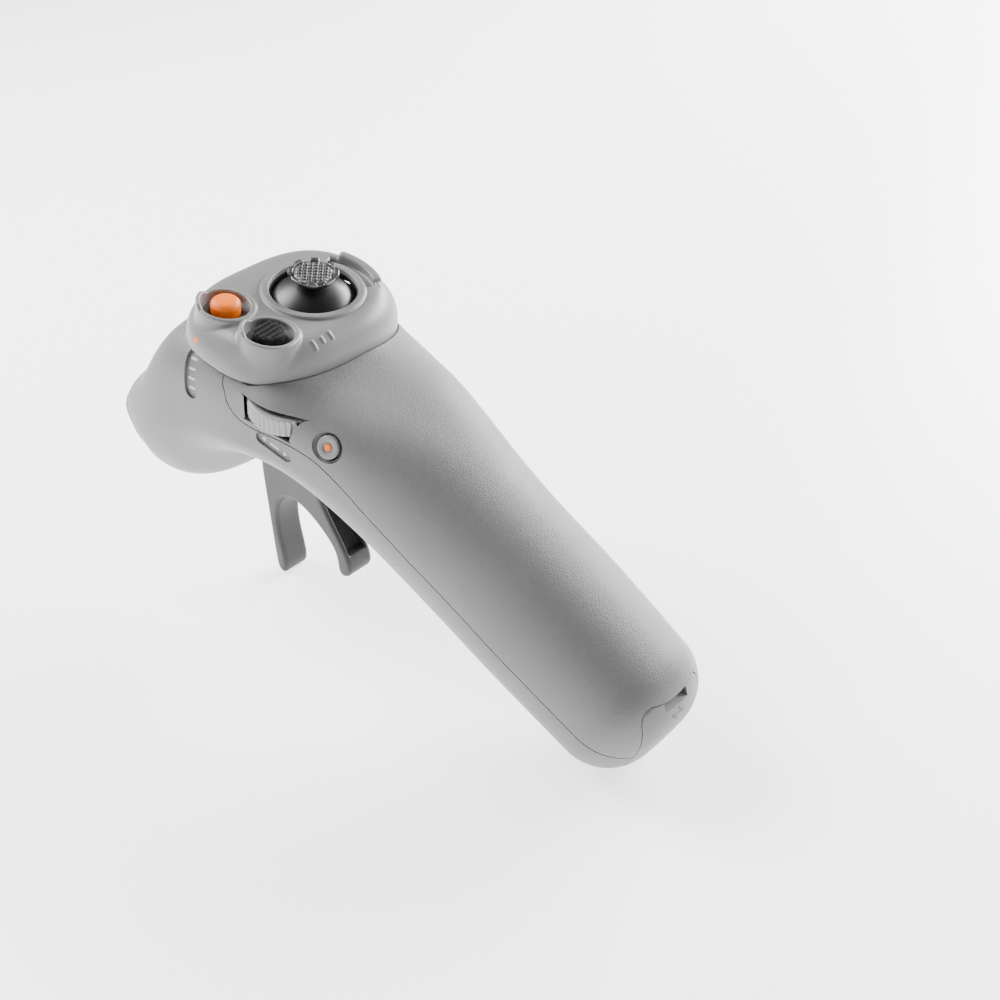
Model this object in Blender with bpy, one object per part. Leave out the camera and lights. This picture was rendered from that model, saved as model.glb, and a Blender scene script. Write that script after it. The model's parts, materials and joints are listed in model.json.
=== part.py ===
"""One-hand motion controller for a camera drone: joystick head, finger trigger and pistol grip.

Every piece is drawn in the head frame: millimetres, X forward, Y left, Z along the normal of the
top cap, with the origin on the top cap above the middle of the head. Three empties carry the
pieces into the world: the whole controller leans back until it stands on its trigger and on the
end of its grip.
"""
import math

import bmesh
import bpy
from mathutils import Matrix, Vector

MM = 0.001
GAP = 0.3

# Driving dimensions, in millimetres and degrees
REST_LEAN = 11.125
REST_PLACE = Vector((27.085, 0.0, 81.75))
GRIP_SLOPE = 19.0
WALL = 2.0
NECK_WALL = 1.3
CAP_SEAM = -8.0
CAP_CENTRE_X = 1.5
CAP_HALF_LENGTH = 19.3
CAP_HALF_WIDTH = 23.7
CAP_EXPONENT = 2.6
CAP_WALL = 1.8

STICK = Vector((0.0, -4.6, -11.1))
DOME_RADIUS = 13.5
DOME_WALL = 1.2
DOME_OPENING = 9.8
STICK_TOP = 5.2
STICK_CAP_RADIUS = 5.7

LOCK = Vector((7.0, 14.6, 0.5))
MODE = Vector((-7.0, 14.2, 0.5))
BUTTON_RADIUS = 3.3
COLLAR_RADIUS = 6.65
WELL_RADIUS = 5.4
WELL_FLOOR = -1.4

DIAL = Vector((-14.9, 15.3, -12.9))
DIAL_RADIUS = 9.4
DIAL_HALF_HEIGHT = 2.1

RECORD = Vector((-31.0, 19.45, -13.2))
RECORD_NORMAL = Vector((-0.24, 0.87, 0.45)).normalized()
RECORD_RADIUS = 3.1

TRIGGER_PIVOT = Vector((-1.0, 0.0, -30.0))
TRIGGER_HUB = 3.6
TRIGGER_HALF_WIDTH = 3.8

BATTERY_RADIUS = 9.2
BATTERY_LENGTH = 65.0

COVER_HALF_WIDTH = 9.4
COVER_LOW = -6.4
COVER_HIGH = 12.9
COVER_DEPTH = 10.6

CAP_SCREWS = ((15.6, 6.4), (11.6, -16.2), (-12.6, -13.2))

# Stations of the casing: x, z, lean of the spine, half width, up, down, squareness over and under
STATIONS = (
    (35.6, -44.2, 34, 21.8, 9.5, 14.0, 3.0, 3.0),
    (31.8, -41.0, 34, 24.0, 10.6, 18.8, 3.2, 3.0),
    (24.6, -36.2, 33, 25.2, 13.2, 20.4, 3.4, 2.7),
    (12.0, -29.0, 24, 25.4, 21.6, 14.8, 3.8, 2.1),
    (-4.0, -23.6, 8, 24.8, 19.6, 12.4, 4.1, 2.0),
    (-20.0, -22.0, -6, 22.7, 14.6, 12.9, 4.4, 2.0),
    (-39.5, -25.3, -16, 19.6, 15.9, 17.4, 2.6, 2.1),
    (-60.0, -32.4, -19, 17.9, 16.3, 17.7, 2.2, 2.2),
    (-82.0, -40.0, -19, 17.4, 16.4, 17.4, 2.2, 2.2),
    (-102.0, -46.9, -19, 16.5, 15.5, 16.8, 2.2, 2.2),
)
NOSE_ROUND = 5.5
GRIP_ROUND = 12.0
SECTION_POINTS = 32
STEPS_BETWEEN = 2
END_STEPS = 4
CAP_POINTS = 40

# Parting line of the two grip shells, seen from the left: x, z
PARTING = (
    (-1.6, 6.0),
    (-1.7, -8.6),
    (-3.2, -12.0),
    (-5.0, -14.8),
    (-7.9, -16.6),
    (-11.4, -17.1),
    (-16.0, -16.8),
    (-21.0, -16.5),
    (-25.6, -16.8),
    (-29.4, -17.6),
    (-33.0, -19.2),
    (-37.4, -21.6),
    (-42.0, -24.3),
    (-50.0, -28.1),
    (-60.0, -32.2),
    (-102.0, -46.9),
    (-130.0, -56.5),
)


def clear_scene():
    for old in list(bpy.data.objects):
        bpy.data.objects.remove(old, do_unlink=True)


# ---------------------------------------------------------------- materials


def material(name, colour, roughness, metallic=0.0):
    made = bpy.data.materials.get(name)
    if made is None:
        made = bpy.data.materials.new(name)
        made.use_nodes = True
        shader = made.node_tree.nodes["Principled BSDF"]
        shader.inputs["Base Color"].default_value = (*colour, 1.0)
        shader.inputs["Roughness"].default_value = roughness
        shader.inputs["Metallic"].default_value = metallic
    return made


FINISHES = {
    "body_plastic": ((0.47, 0.465, 0.46), 0.55, 0.0),
    "cap_plastic": ((0.53, 0.53, 0.53), 0.5, 0.0),
    "dial_plastic": ((0.55, 0.55, 0.55), 0.5, 0.0),
    "trigger_plastic": ((0.075, 0.075, 0.08), 0.42, 0.0),
    "button_plastic": ((0.045, 0.045, 0.05), 0.45, 0.0),
    "orange_plastic": ((0.95, 0.25, 0.03), 0.4, 0.0),
    "gloss_plastic": ((0.02, 0.02, 0.022), 0.25, 0.0),
    "gunmetal": ((0.3, 0.3, 0.31), 0.35, 1.0),
    "steel": ((0.62, 0.62, 0.63), 0.3, 1.0),
    "circuit_board": ((0.02, 0.09, 0.05), 0.5, 0.0),
    "inner_plastic": ((0.1, 0.1, 0.11), 0.6, 0.0),
    "battery_wrap": ((0.06, 0.16, 0.35), 0.4, 0.0),
    "wire_insulation": ((0.5, 0.03, 0.02), 0.5, 0.0),
}


# ---------------------------------------------------------------- mesh helpers


def add_object(name, bm, finish=None, parent=None, at=(0, 0, 0)):
    """Makes an object of a mesh drawn in head-frame millimetres, with its origin at the point given."""
    at = Vector(at)
    bmesh.ops.transform(bm, matrix=Matrix.Translation(-at), verts=bm.verts)
    bmesh.ops.scale(bm, vec=(MM, MM, MM), verts=bm.verts)
    bmesh.ops.recalc_face_normals(bm, faces=bm.faces)
    mesh = bpy.data.meshes.new(name)
    bm.to_mesh(mesh)
    bm.free()
    mesh.shade_smooth()
    mesh.set_sharp_from_angle(angle=math.radians(35))
    obj = bpy.data.objects.new(name, mesh)
    bpy.context.scene.collection.objects.link(obj)
    obj.location = at * MM
    if parent is not None:
        obj.parent = parent
        obj.location -= parent_place(parent)
    if finish is not None:
        mesh.materials.append(material(finish, *FINISHES[finish]))
    return obj


def parent_place(parent):
    """Place of a parent in the head frame, in metres."""
    place = Vector((0, 0, 0))
    while parent is not None and parent.name != "controller":
        place += parent.location
        parent = parent.parent
    return place


def add_empty(name, at, parent):
    empty = bpy.data.objects.new(name, None)
    bpy.context.scene.collection.objects.link(empty)
    empty.parent = parent
    empty.location = Vector(at) * MM - parent_place(parent)
    return empty


def cutter(name, bm, parent):
    obj = add_object(name, bm, parent=parent)
    obj.hide_render = True
    obj.display_type = "WIRE"
    return obj


def boolean(obj, tool, operation="DIFFERENCE"):
    step = obj.modifiers.new(tool.name, "BOOLEAN")
    step.object = tool
    step.operation = operation
    step.solver = "EXACT"


def skin(rings):
    """Closed mesh through rings of equal length, with flat ends."""
    bm = bmesh.new()
    rows = [[bm.verts.new(point) for point in ring] for ring in rings]
    count = len(rows[0])
    for one, two in zip(rows, rows[1:]):
        for i in range(count):
            bm.faces.new((one[i], one[(i + 1) % count], two[(i + 1) % count], two[i]))
    bm.faces.new(rows[0])
    bm.faces.new(rows[-1])
    return bm


def turned(profile, centre, axis=(0, 0, 1), steps=24):
    """Solid of revolution: profile is (radius, height) from bottom to top, closed on its axis."""
    turn = Vector((0, 0, 1)).rotation_difference(Vector(axis)).to_matrix()
    rings = []
    for radius, height in profile:
        ring = []
        for i in range(steps):
            angle = 2 * math.pi * i / steps
            flat = Vector((radius * math.cos(angle), radius * math.sin(angle), height))
            ring.append(Vector(centre) + turn @ flat)
        rings.append(ring)
    return skin(rings)


def turned_tube(profile, centre, axis=(0, 0, 1), steps=24):
    """Ring of revolution round an open middle: profile is a closed loop of (radius, height)."""
    turn = Vector((0, 0, 1)).rotation_difference(Vector(axis)).to_matrix()
    bm = bmesh.new()
    rows = []
    for i in range(steps):
        angle = 2 * math.pi * i / steps
        row = []
        for radius, height in profile:
            flat = Vector((radius * math.cos(angle), radius * math.sin(angle), height))
            row.append(bm.verts.new(Vector(centre) + turn @ flat))
        rows.append(row)
    count = len(profile)
    for i in range(steps):
        one, two = rows[i], rows[(i + 1) % steps]
        for j in range(count):
            bm.faces.new((one[j], one[(j + 1) % count], two[(j + 1) % count], two[j]))
    return bm


def rod(radius, start, end, steps=20):
    """Round bar between two points."""
    start, end = Vector(start), Vector(end)
    return turned([(radius, 0.0), (radius, (end - start).length)], start, end - start, steps)


def box(low, high, turn=None, about=(0, 0, 0), bevel=0.0):
    low, high = Vector(low), Vector(high)
    bm = bmesh.new()
    bmesh.ops.create_cube(bm, size=1.0)
    bmesh.ops.scale(bm, vec=high - low, verts=bm.verts)
    if bevel:
        bmesh.ops.bevel(bm, geom=list(bm.edges), offset=bevel, segments=1, affect="EDGES")
    bmesh.ops.translate(bm, vec=(low + high) / 2, verts=bm.verts)
    if turn is not None:
        spin = Matrix.Translation(about) @ turn.to_4x4() @ Matrix.Translation(-Vector(about))
        bmesh.ops.transform(bm, matrix=spin, verts=bm.verts)
    return bm


def slab(outline, half_width, bevel=0.0):
    """Outline of (x, z) points pulled out sideways to both half widths."""
    bm = bmesh.new()
    left = [bm.verts.new((x, half_width, z)) for x, z in outline]
    right = [bm.verts.new((x, -half_width, z)) for x, z in outline]
    bm.faces.new(left)
    bm.faces.new(right[::-1])
    count = len(outline)
    for i in range(count):
        j = (i + 1) % count
        bm.faces.new((left[i], right[i], right[j], left[j]))
    bmesh.ops.recalc_face_normals(bm, faces=bm.faces)
    if bevel:
        rims = [e for e in bm.edges if abs(e.verts[0].co.y - e.verts[1].co.y) < 1e-6]
        bmesh.ops.bevel(bm, geom=rims, offset=bevel, segments=2, affect="EDGES")
    return bm


def tilt(degrees):
    """Turn about the sideways axis that lowers the rear end."""
    return Matrix.Rotation(math.radians(-degrees), 3, "Y")


# ---------------------------------------------------------------- body surface


def smooth_between(table, steps):
    """Rows of a table with Catmull-Rom rows put between them."""
    rows = []
    last = len(table) - 1
    for i in range(last):
        a, b, c, d = (table[max(0, min(last, i + k))] for k in (-1, 0, 1, 2))
        for step in range(steps):
            t = step / steps
            rows.append(tuple(catmull(p, q, r, s, t) for p, q, r, s in zip(a, b, c, d)))
    rows.append(table[-1])
    return rows


def catmull(a, b, c, d, t):
    return 0.5 * (2 * b + (c - a) * t + (2 * a - 5 * b + 4 * c - d) * t**2 + (3 * b - 3 * c + d - a) * t**3)


def power(value, exponent):
    return math.copysign(abs(value) ** exponent, value)


def section(row, inset, slide=0.0):
    """Ring of body points at one station, pulled in by inset and slid rearward along the spine."""
    x, z, lean, half, up, down, square_over, square_under = row
    lean = math.radians(lean)
    normal = Vector((math.sin(lean), 0, math.cos(lean)))
    rearward = Vector((-math.cos(lean), 0, math.sin(lean)))
    centre = Vector((x, 0, z)) + rearward * slide
    ring = []
    for i in range(SECTION_POINTS):
        angle = 2 * math.pi * i / SECTION_POINTS
        c, s = math.cos(angle), math.sin(angle)
        square = square_over if s > 0 else square_under
        side = (half - inset) * power(c, 2 / square)
        high = ((up if s > 0 else down) - inset) * power(s, 2 / square)
        ring.append(centre + Vector((0, side, 0)) + normal * high)
    return ring


def body_rings(inset):
    """Rings of the whole body from the nose to the end of the grip, pulled in by inset."""
    rows = smooth_between(STATIONS, STEPS_BETWEEN)
    rings = []
    for k in range(END_STEPS):
        turn = math.pi / 2 * (1 - k / END_STEPS)
        radius = NOSE_ROUND - inset
        rings.append(section(rows[0], inset + radius * (1 - math.cos(turn)), -radius * math.sin(turn)))
    rings += [section(row, inset) for row in rows]
    for k in range(1, END_STEPS + 1):
        turn = math.pi / 2 * k / END_STEPS
        radius = GRIP_ROUND - inset
        rings.append(section(rows[-1], inset + radius * (1 - math.cos(turn)), radius * math.sin(turn)))
    return rings


def cap_outline(inset, height):
    """Plan outline of the top cap."""
    ring = []
    for i in range(CAP_POINTS):
        angle = 2 * math.pi * i / CAP_POINTS
        x = (CAP_HALF_LENGTH - inset) * power(math.cos(angle), 2 / CAP_EXPONENT)
        y = (CAP_HALF_WIDTH - inset) * power(math.sin(angle), 2 / CAP_EXPONENT)
        ring.append(Vector((CAP_CENTRE_X + x, y, height)))
    return ring


def grip_frame(distance):
    """Point on the grip's axis, at a distance rearward from the grip's last station."""
    x, z = STATIONS[-1][0], STATIONS[-1][1]
    slope = math.radians(GRIP_SLOPE)
    return Vector((x - distance * math.cos(slope), 0, z - distance * math.sin(slope)))


# ---------------------------------------------------------------- casing


def region(name, outline, parent):
    """Wide prism over an (x, z) outline, to keep one side of the parting line."""
    return cutter(name, slab(outline, 60.0), parent)


def beside(line, shift):
    """Line of (x, z) points moved sideways, to the rear and upward for a positive shift."""
    moved = []
    for i, (x, z) in enumerate(line):
        before, after = line[max(0, i - 1)], line[min(len(line) - 1, i + 1)]
        run = Vector((after[0] - before[0], after[1] - before[1])).normalized()
        moved.append((x + run.y * shift, z - run.x * shift))
    return moved


def make_shells(body):
    """Front and rear shells: one hollow body cut along the parting line and under the cap."""
    rear_side = beside(PARTING, GAP / 2) + [(-140.0, PARTING[0][1])]
    front_side = beside(PARTING, -GAP / 2) + [(-130.0, -120.0), (70.0, -120.0), (70.0, PARTING[0][1])]
    inner = cutter("casing_hollow", skin(body_rings(WALL)), body)
    above = cutter("above_seam", box((-19.5, -60, CAP_SEAM - GAP), (60, 60, 40)), body)
    over = cutter("over_cap_seam", cap_block(), body)
    neck_low = cap_outline(2 * WALL, -17.0)
    neck_middle = cap_outline(NECK_WALL, -13.0)
    neck = cutter("neck_room", skin([neck_low, neck_middle, cap_outline(NECK_WALL, 40.0)]), body)
    shells = {}
    for name, outline in (("rear_shell", rear_side), ("front_shell", front_side)):
        shell = add_object(name, skin(body_rings(0.0)), "body_plastic", body)
        boolean(shell, inner)
        boolean(shell, neck)
        boolean(shell, over if name == "rear_shell" else above)
        boolean(shell, region(name + "_side", outline, body), "INTERSECT")
        shells[name] = shell
    return shells


def cap_block():
    """Room over the seam for the top cap."""
    return skin([cap_outline(-GAP, CAP_SEAM - GAP), cap_outline(-GAP, 40.0)])


def make_cap(body):
    """Top cap with the joystick ring, two button wells and the side fin."""
    outer = [(0.0, CAP_SEAM), (0.25, -6.0), (1.3, -3.4), (2.6, -1.7), (4.2, -0.6), (6.0, 0.0)]
    inner = [(CAP_WALL, CAP_SEAM - 1), (CAP_WALL + 0.25, -6.2), (CAP_WALL + 1.6, -3.6), (6.2, -1.8)]
    cap = add_object("top_cap", skin([cap_outline(i, z) for i, z in outer]), "cap_plastic", body)
    adds = [("joystick_ring", ring_mesh()), ("fin", fin_mesh())]
    for label, spot in (("lock", LOCK), ("mode", MODE)):
        profile = [(COLLAR_RADIUS + 0.5, -2.4), (COLLAR_RADIUS, 0.2), (COLLAR_RADIUS - 0.4, 0.9)]
        adds.append((label + "_collar", turned(profile, spot, steps=32)))
    for name, mesh in adds:
        boolean(cap, cutter(name, mesh, body), "UNION")
    cuts = [("cap_hollow", skin([cap_outline(i, z) for i, z in inner]))]
    for name, mesh in cuts:
        boolean(cap, cutter(name, mesh, body))
    for label, spot in (("lock", LOCK), ("mode", MODE)):
        under = turned([(WELL_RADIUS + 1.0, -3.4), (WELL_RADIUS + 1.0, WELL_FLOOR - 0.2)], spot, steps=32)
        boolean(cap, cutter(label + "_well_wall", under, body), "UNION")
        well = turned([(WELL_RADIUS, WELL_FLOOR), (WELL_RADIUS, 4.0)], spot, steps=32)
        boolean(cap, cutter(label + "_well", well, body))
        hole = turned([(BUTTON_RADIUS + GAP, -6.0), (BUTTON_RADIUS + GAP, 4.0)], spot, steps=32)
        boolean(cap, cutter(label + "_hole", hole, body))
    for i, (x, y) in enumerate(CAP_SCREWS):
        boss = turned([(2.4, -7.6), (2.4, -1.4)], (x, y, 0), steps=16)
        boolean(cap, cutter(f"cap_boss_{i + 1}", boss, body), "UNION")
    for i, (x, y) in enumerate(CAP_SCREWS):
        pilot = turned([(1.15, -9.0), (1.15, -2.8)], (x, y, 0), steps=12)
        boolean(cap, cutter(f"cap_pilot_{i + 1}", pilot, body))
    boolean(cap, cutter("dome_room", dome_room(), body))
    return cap


def ring_mesh():
    profile = [(12.4, -1.6), (11.8, 0.1), (11.3, 0.7), (10.2, 0.7), (9.0, 0.3)]
    return turned(profile, (STICK.x, STICK.y, 0), steps=36)


def dome_room():
    """Ball-shaped room round the joystick dome, with its round opening."""
    radius = DOME_RADIUS + 0.4
    profile = []
    for k in range(9):
        angle = math.radians(100 - k * (100 - math.degrees(math.asin(DOME_OPENING / radius))) / 8)
        profile.append((radius * math.sin(angle), STICK.z + radius * math.cos(angle)))
    profile.append((DOME_OPENING, 4.0))
    return turned(profile, (STICK.x, STICK.y, 0), steps=36)


def fin_mesh():
    """Low guard rail that curves round the right side of the joystick."""
    inner, outer, height = 14.0, 16.4, 1.0
    rings = []
    for k in range(9):
        angle = math.radians(-90 - 27 + 54 * k / 8)
        drop = 1.2 * (8 - k) / 8
        ring = []
        top = height - drop
        for radius, z in ((inner, -2.8), (outer + 1.2, -3.0), (outer, top), (inner + 0.5, top)):
            ring.append(Vector((STICK.x + radius * math.cos(angle), STICK.y + radius * math.sin(angle), z)))
        rings.append(ring)
    return skin(rings)


# ---------------------------------------------------------------- joystick


def make_joystick(body, across, along):
    """Dome, stem and crowned cap on a two-axis gimbal."""
    centre = (STICK.x, STICK.y, 0)
    outer = []
    inner = []
    for k in range(9):
        angle = math.radians(66 * (1 - k / 8))
        outer.append((DOME_RADIUS * math.sin(angle), STICK.z + DOME_RADIUS * math.cos(angle)))
        under = DOME_RADIUS - DOME_WALL
        inner.append((under * math.sin(angle), STICK.z + under * math.cos(angle)))
    stem_top = 3.4
    outer[-1] = (2.1, outer[-2][1] + 0.55)
    inner[-1] = (1.2, inner[-1][1])
    profile = outer + [(2.1, stem_top - 0.3), (1.2, stem_top - 0.3)] + inner[::-1]
    add_object("joystick_dome", turned_tube(profile[::-1], centre, steps=32), "gloss_plastic", along, STICK)
    stem = [(0.9, STICK.z + 2.2), (0.9, stem_top + 0.9)]
    add_object("joystick_stem", turned(stem, centre, steps=16), "steel", along, STICK)
    knob = [(3.2, 3.35), (4.6, 3.5), (STICK_CAP_RADIUS, 4.1)]
    knob += [(STICK_CAP_RADIUS, STICK_TOP - 0.3), (5.2, STICK_TOP)]
    cap = add_object("joystick_cap", turned(knob, centre, steps=32), "gunmetal", along, STICK)
    socket = turned([(1.2, 2.4), (1.2, 4.5)], centre, steps=16)
    boolean(cap, cutter("stem_socket", socket, body))
    dish = turned([(4.1, STICK_TOP - 0.5), (4.4, STICK_TOP + 1)], centre, steps=32)
    boolean(cap, cutter("pad_dish", dish, body))
    pad = [(3.85, STICK_TOP - 0.25), (3.85, STICK_TOP - 0.1), (3.0, STICK_TOP + 0.05)]
    add_object("joystick_pad", turned(pad, centre, steps=32), "inner_plastic", along, STICK)
    x, y, z = STICK
    block = box((x - 4.2, y - 1.9, z - 1.9), (x + 4.2, y + 1.9, z + 1.9), bevel=0.4)
    add_object("stick_block", block, "inner_plastic", along, STICK)
    outside = box((x - 6.2, y - 6.2, z - 1.6), (x + 6.2, y + 6.2, z + 1.6), bevel=0.5)
    inside = box((x - 4.7, y - 4.7, z - 3), (x + 4.7, y + 4.7, z + 3))
    ring = add_object("gimbal_ring", outside, "steel", across, STICK)
    boolean(ring, cutter("gimbal_ring_hollow", inside, body))
    outside = box((x - 8.6, y - 8.6, -23.2), (x + 8.6, y + 8.6, z + 0.4), bevel=0.5)
    inside = box((x - 7.4, y - 7.4, -21.8), (x + 7.4, y + 7.4, z + 3))
    housing = add_object("joystick_housing", outside, "inner_plastic", body)
    boolean(housing, cutter("joystick_housing_hollow", inside, body))
    for name, low, high in (
        ("pitch_sensor", (x - 2.5, y - 10.6, -20.0), (x + 2.5, y - 8.9, -13.0)),
        ("roll_sensor", (x + 8.9, y - 2.5, -20.0), (x + 10.6, y + 2.5, -13.0)),
    ):
        add_object(name, box(low, high, bevel=0.25), "button_plastic", body)


# ---------------------------------------------------------------- buttons and dial


def make_buttons(body, lock, mode, record):
    """Push buttons with the switches they press."""
    dome = [(BUTTON_RADIUS, -3.6), (BUTTON_RADIUS, 0.7), (3.0, 1.4), (2.4, 1.85), (1.4, 2.05)]
    add_object("lock_button", turned(dome, LOCK, steps=32), "orange_plastic", lock, LOCK)
    flat = [(BUTTON_RADIUS, -3.6), (BUTTON_RADIUS, 1.1), (2.95, 1.45)]
    add_object("mode_button", turned(flat, MODE, steps=32), "button_plastic", mode, MODE)
    for name, spot in (("lock_switch", LOCK), ("mode_switch", MODE)):
        low = (spot.x - 2.3, spot.y - 2.3, -7.2)
        high = (spot.x + 2.3, spot.y + 2.3, -5.0)
        add_object(name, box(low, high, bevel=0.25), "steel", body)
    inward = -RECORD_NORMAL
    disc = [(RECORD_RADIUS, -2.6), (RECORD_RADIUS, -0.3), (RECORD_RADIUS - 0.3, 0.0)]
    disc = turned(disc, RECORD, RECORD_NORMAL, 32)
    button = add_object("record_button", disc, "cap_plastic", record, RECORD)
    pit = turned([(1.05, -0.5), (1.05, 1.0)], RECORD, RECORD_NORMAL, 16)
    boolean(button, cutter("record_dot_pit", pit, body))
    dot = turned([(0.75, -0.2), (0.75, 0.0)], RECORD, RECORD_NORMAL, 16)
    add_object("record_dot", dot, "orange_plastic", record, RECORD)
    switch = turned([(2.0, 0.0), (2.0, 1.4)], RECORD + inward * 5.0, RECORD_NORMAL, 16)
    add_object("record_switch", switch, "steel", body)


def make_dial(body, dial):
    """Finger dial on an upright axle, with its bracket and encoder."""
    high, low = DIAL_HALF_HEIGHT, -DIAL_HALF_HEIGHT
    rim = DIAL_RADIUS - 1.2
    profile = [(1.5, low), (rim, low), (DIAL_RADIUS, low + 0.7)]
    profile += [(DIAL_RADIUS, high - 0.7), (rim, high), (1.5, high)]
    add_object("function_dial", turned_tube(profile[::-1], DIAL, steps=40), "dial_plastic", dial, DIAL)
    axle = turned([(1.1, -4.6), (1.1, high - 0.1)], DIAL, steps=16)
    add_object("dial_axle", axle, "steel", body)
    x, y, z = DIAL
    plate = box((x - 5, y - 5, z - 3.8), (x + 5, y + 5, z - 2.6), bevel=0.25)
    bracket = add_object("dial_bracket", plate, "inner_plastic", body)
    boolean(bracket, cutter("axle_hole", turned([(1.4, -6.0), (1.4, 0.0)], DIAL, steps=16), body))
    add_object("dial_encoder", turned([(4.4, -8.2), (4.4, -4.9)], DIAL, steps=24), "steel", body)


# ---------------------------------------------------------------- trigger


def make_trigger(body, trigger):
    """Two-finger trigger: a thin front prong to pull and a scooped rear prong to push."""
    pivot = TRIGGER_PIVOT
    outline = [
        (-4.4, -33.0), (-4.0, -29.0), (-2.4, -27.2), (0.2, -27.2), (2.4, -29.0), (4.6, -34.0),
        (8.6, -41.0), (10.2, -50.0), (9.4, -56.0), (8.0, -63.6), (6.8, -70.4), (5.4, -78.2), (4.5, -82.6),
        (3.0, -83.9), (1.4, -83.5), (0.9, -80.8), (1.8, -77.2), (3.6, -71.4), (4.4, -66.0), (3.6, -60.6),
        (1.0, -57.4), (-1.8, -56.3), (-5.0, -56.4), (-9.3, -57.8), (-13.5, -60.2), (-16.4, -62.6),
        (-17.6, -65.4), (-18.2, -68.8), (-19.8, -69.7), (-21.8, -68.4), (-22.6, -65.4), (-20.0, -60.6),
        (-13.0, -52.4), (-7.6, -44.0),
    ]
    blank = slab(outline, TRIGGER_HALF_WIDTH, bevel=0.7)
    lever = add_object("trigger", blank, "trigger_plastic", trigger, pivot)
    hub = rod(TRIGGER_HUB, pivot - Vector((0, 3.3, 0)), pivot + Vector((0, 3.3, 0)), 28)
    trim = box((-12, 3.3, -34.6), (12, 12, -22))
    boolean(lever, cutter("hub_trim_left", trim, body))
    boolean(lever, cutter("hub_trim_right", box((-12, -12, -34.6), (12, -3.3, -22)), body))
    boolean(lever, cutter("trigger_hub", hub, body), "UNION")
    bore = rod(1.6, pivot - Vector((0, 9, 0)), pivot + Vector((0, 9, 0)), 20)
    boolean(lever, cutter("pin_bore", bore, body))
    scoop = slab([(-6.6, -49.6), (-8.4, -54.2), (-18.2, -62.9), (-26.0, -61.0), (-14.0, -46.0)], 2.7)
    boolean(lever, cutter("prong_scoop", scoop, body))
    pocket = box((-7.4, -1.9, -31.9), (-3.0, 1.9, -28.1))
    boolean(lever, cutter("magnet_pocket", pocket, body))
    magnet = box((-4.6, -1.5, -31.5), (-3.4, 1.5, -28.5), bevel=0.2)
    add_object("trigger_magnet", magnet, "steel", trigger, pivot)

    pin = rod(1.25, pivot - Vector((0, 7.6, 0)), pivot + Vector((0, 7.6, 0)), 20)
    add_object("trigger_pin", pin, "steel", body)
    cheeks = [box((-6, 6.0, -32.9), (4, 7.6, -25.2)), box((-6, -7.6, -32.9), (4, -6.0, -25.2))]
    bracket = add_object("trigger_bracket", box((-6, -7.6, -25.8), (4, 7.6, -24.9)), "inner_plastic", body)
    for i, cheek in enumerate(cheeks):
        boolean(bracket, cutter(f"bracket_cheek_{i + 1}", cheek, body), "UNION")
    wide_bore = rod(1.5, pivot - Vector((0, 12, 0)), pivot + Vector((0, 12, 0)), 20)
    boolean(bracket, cutter("bracket_bore", wide_bore, body))
    add_object("trigger_spring", spring_mesh(), "steel", trigger, pivot)
    board = box((-9.7, -4.6, -32.6), (-8.6, 4.6, -25.6), bevel=0.1)
    add_object("trigger_sensor_board", board, "circuit_board", body)


def spring_mesh():
    """Torsion spring wound round the trigger pin on its left side."""
    turns, pitch, radius, wire, steps = 2.5, 0.62, 2.6, 0.24, 14
    bm = bmesh.new()
    rows = []
    count = int(turns * steps)
    for i in range(count + 1):
        angle = 2 * math.pi * i / steps
        out = Vector((math.cos(angle), 0, math.sin(angle)))
        centre = TRIGGER_PIVOT + out * radius + Vector((0, 3.9 + pitch * i / steps, 0))
        row = []
        for k in range(6):
            turn = math.pi * k / 3
            sideways = Vector((0, wire * math.sin(turn), 0))
            row.append(bm.verts.new(centre + out * wire * math.cos(turn) + sideways))
        rows.append(row)
    for one, two in zip(rows, rows[1:]):
        for k in range(6):
            bm.faces.new((one[k], one[(k + 1) % 6], two[(k + 1) % 6], two[k]))
    bm.faces.new(rows[0])
    bm.faces.new(rows[-1])
    return bm


# ---------------------------------------------------------------- electronics and battery


def make_electronics(body):
    """Boards, radio, aerials and small devices inside the head."""
    plate = skin([cap_outline(3.6, -10.0), cap_outline(3.6, -8.9)])
    frame = add_object("inner_frame", plate, "inner_plastic", body)
    room = turned([(14.6, -12.0), (14.6, -7.0)], (STICK.x, STICK.y, 0), steps=40)
    boolean(frame, cutter("frame_dome_room", room, body))
    for i, (x, y) in enumerate(CAP_SCREWS):
        hole = turned([(1.3, -12.0), (1.3, -7.0)], (x, y, 0), steps=12)
        boolean(frame, cutter(f"frame_hole_{i + 1}", hole, body))
        screw = [(0.85, -4.0), (0.85, -10.3), (1.5, -10.3), (1.5, -11.5)]
        add_object(f"cap_screw_{i + 1}", turned(screw[::-1], (x, y, 0), steps=16), "steel", body)
    add_object("button_board", box((-9.6, 11.6, -8.5), (9.6, 17.8, -7.5), bevel=0.1), "circuit_board", body)
    plate = box((-15.0, -16.5, -24.5), (16.0, 16.5, -23.5), bevel=0.15)
    add_object("main_board", plate, "circuit_board", body)
    add_object("radio_shield", box((9.4, -6.0, -23.2), (15.4, 13.0, -20.8), bevel=0.3), "steel", body)
    for name, side in (("left_antenna", 1), ("right_antenna", -1)):
        low = (22.0, side * 14.0 - 5.0, -38.6)
        high = (33.0, side * 14.0 + 5.0, -37.6)
        add_object(name, box(low, high, tilt(-34), (27, 0, -38), 0.1), "circuit_board", body)
    disc = turned([(5.5, -1.6), (5.5, 1.2), (4.8, 1.6)], (22.5, 0, -45.0), (0.56, 0, 0.83), 28)
    add_object("buzzer", disc, "button_plastic", body)
    motor = rod(3.4, (-27.5, -6.0, -24.0), (-27.5, 6.0, -24.0), 24)
    add_object("vibration_motor", motor, "steel", body)


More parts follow.
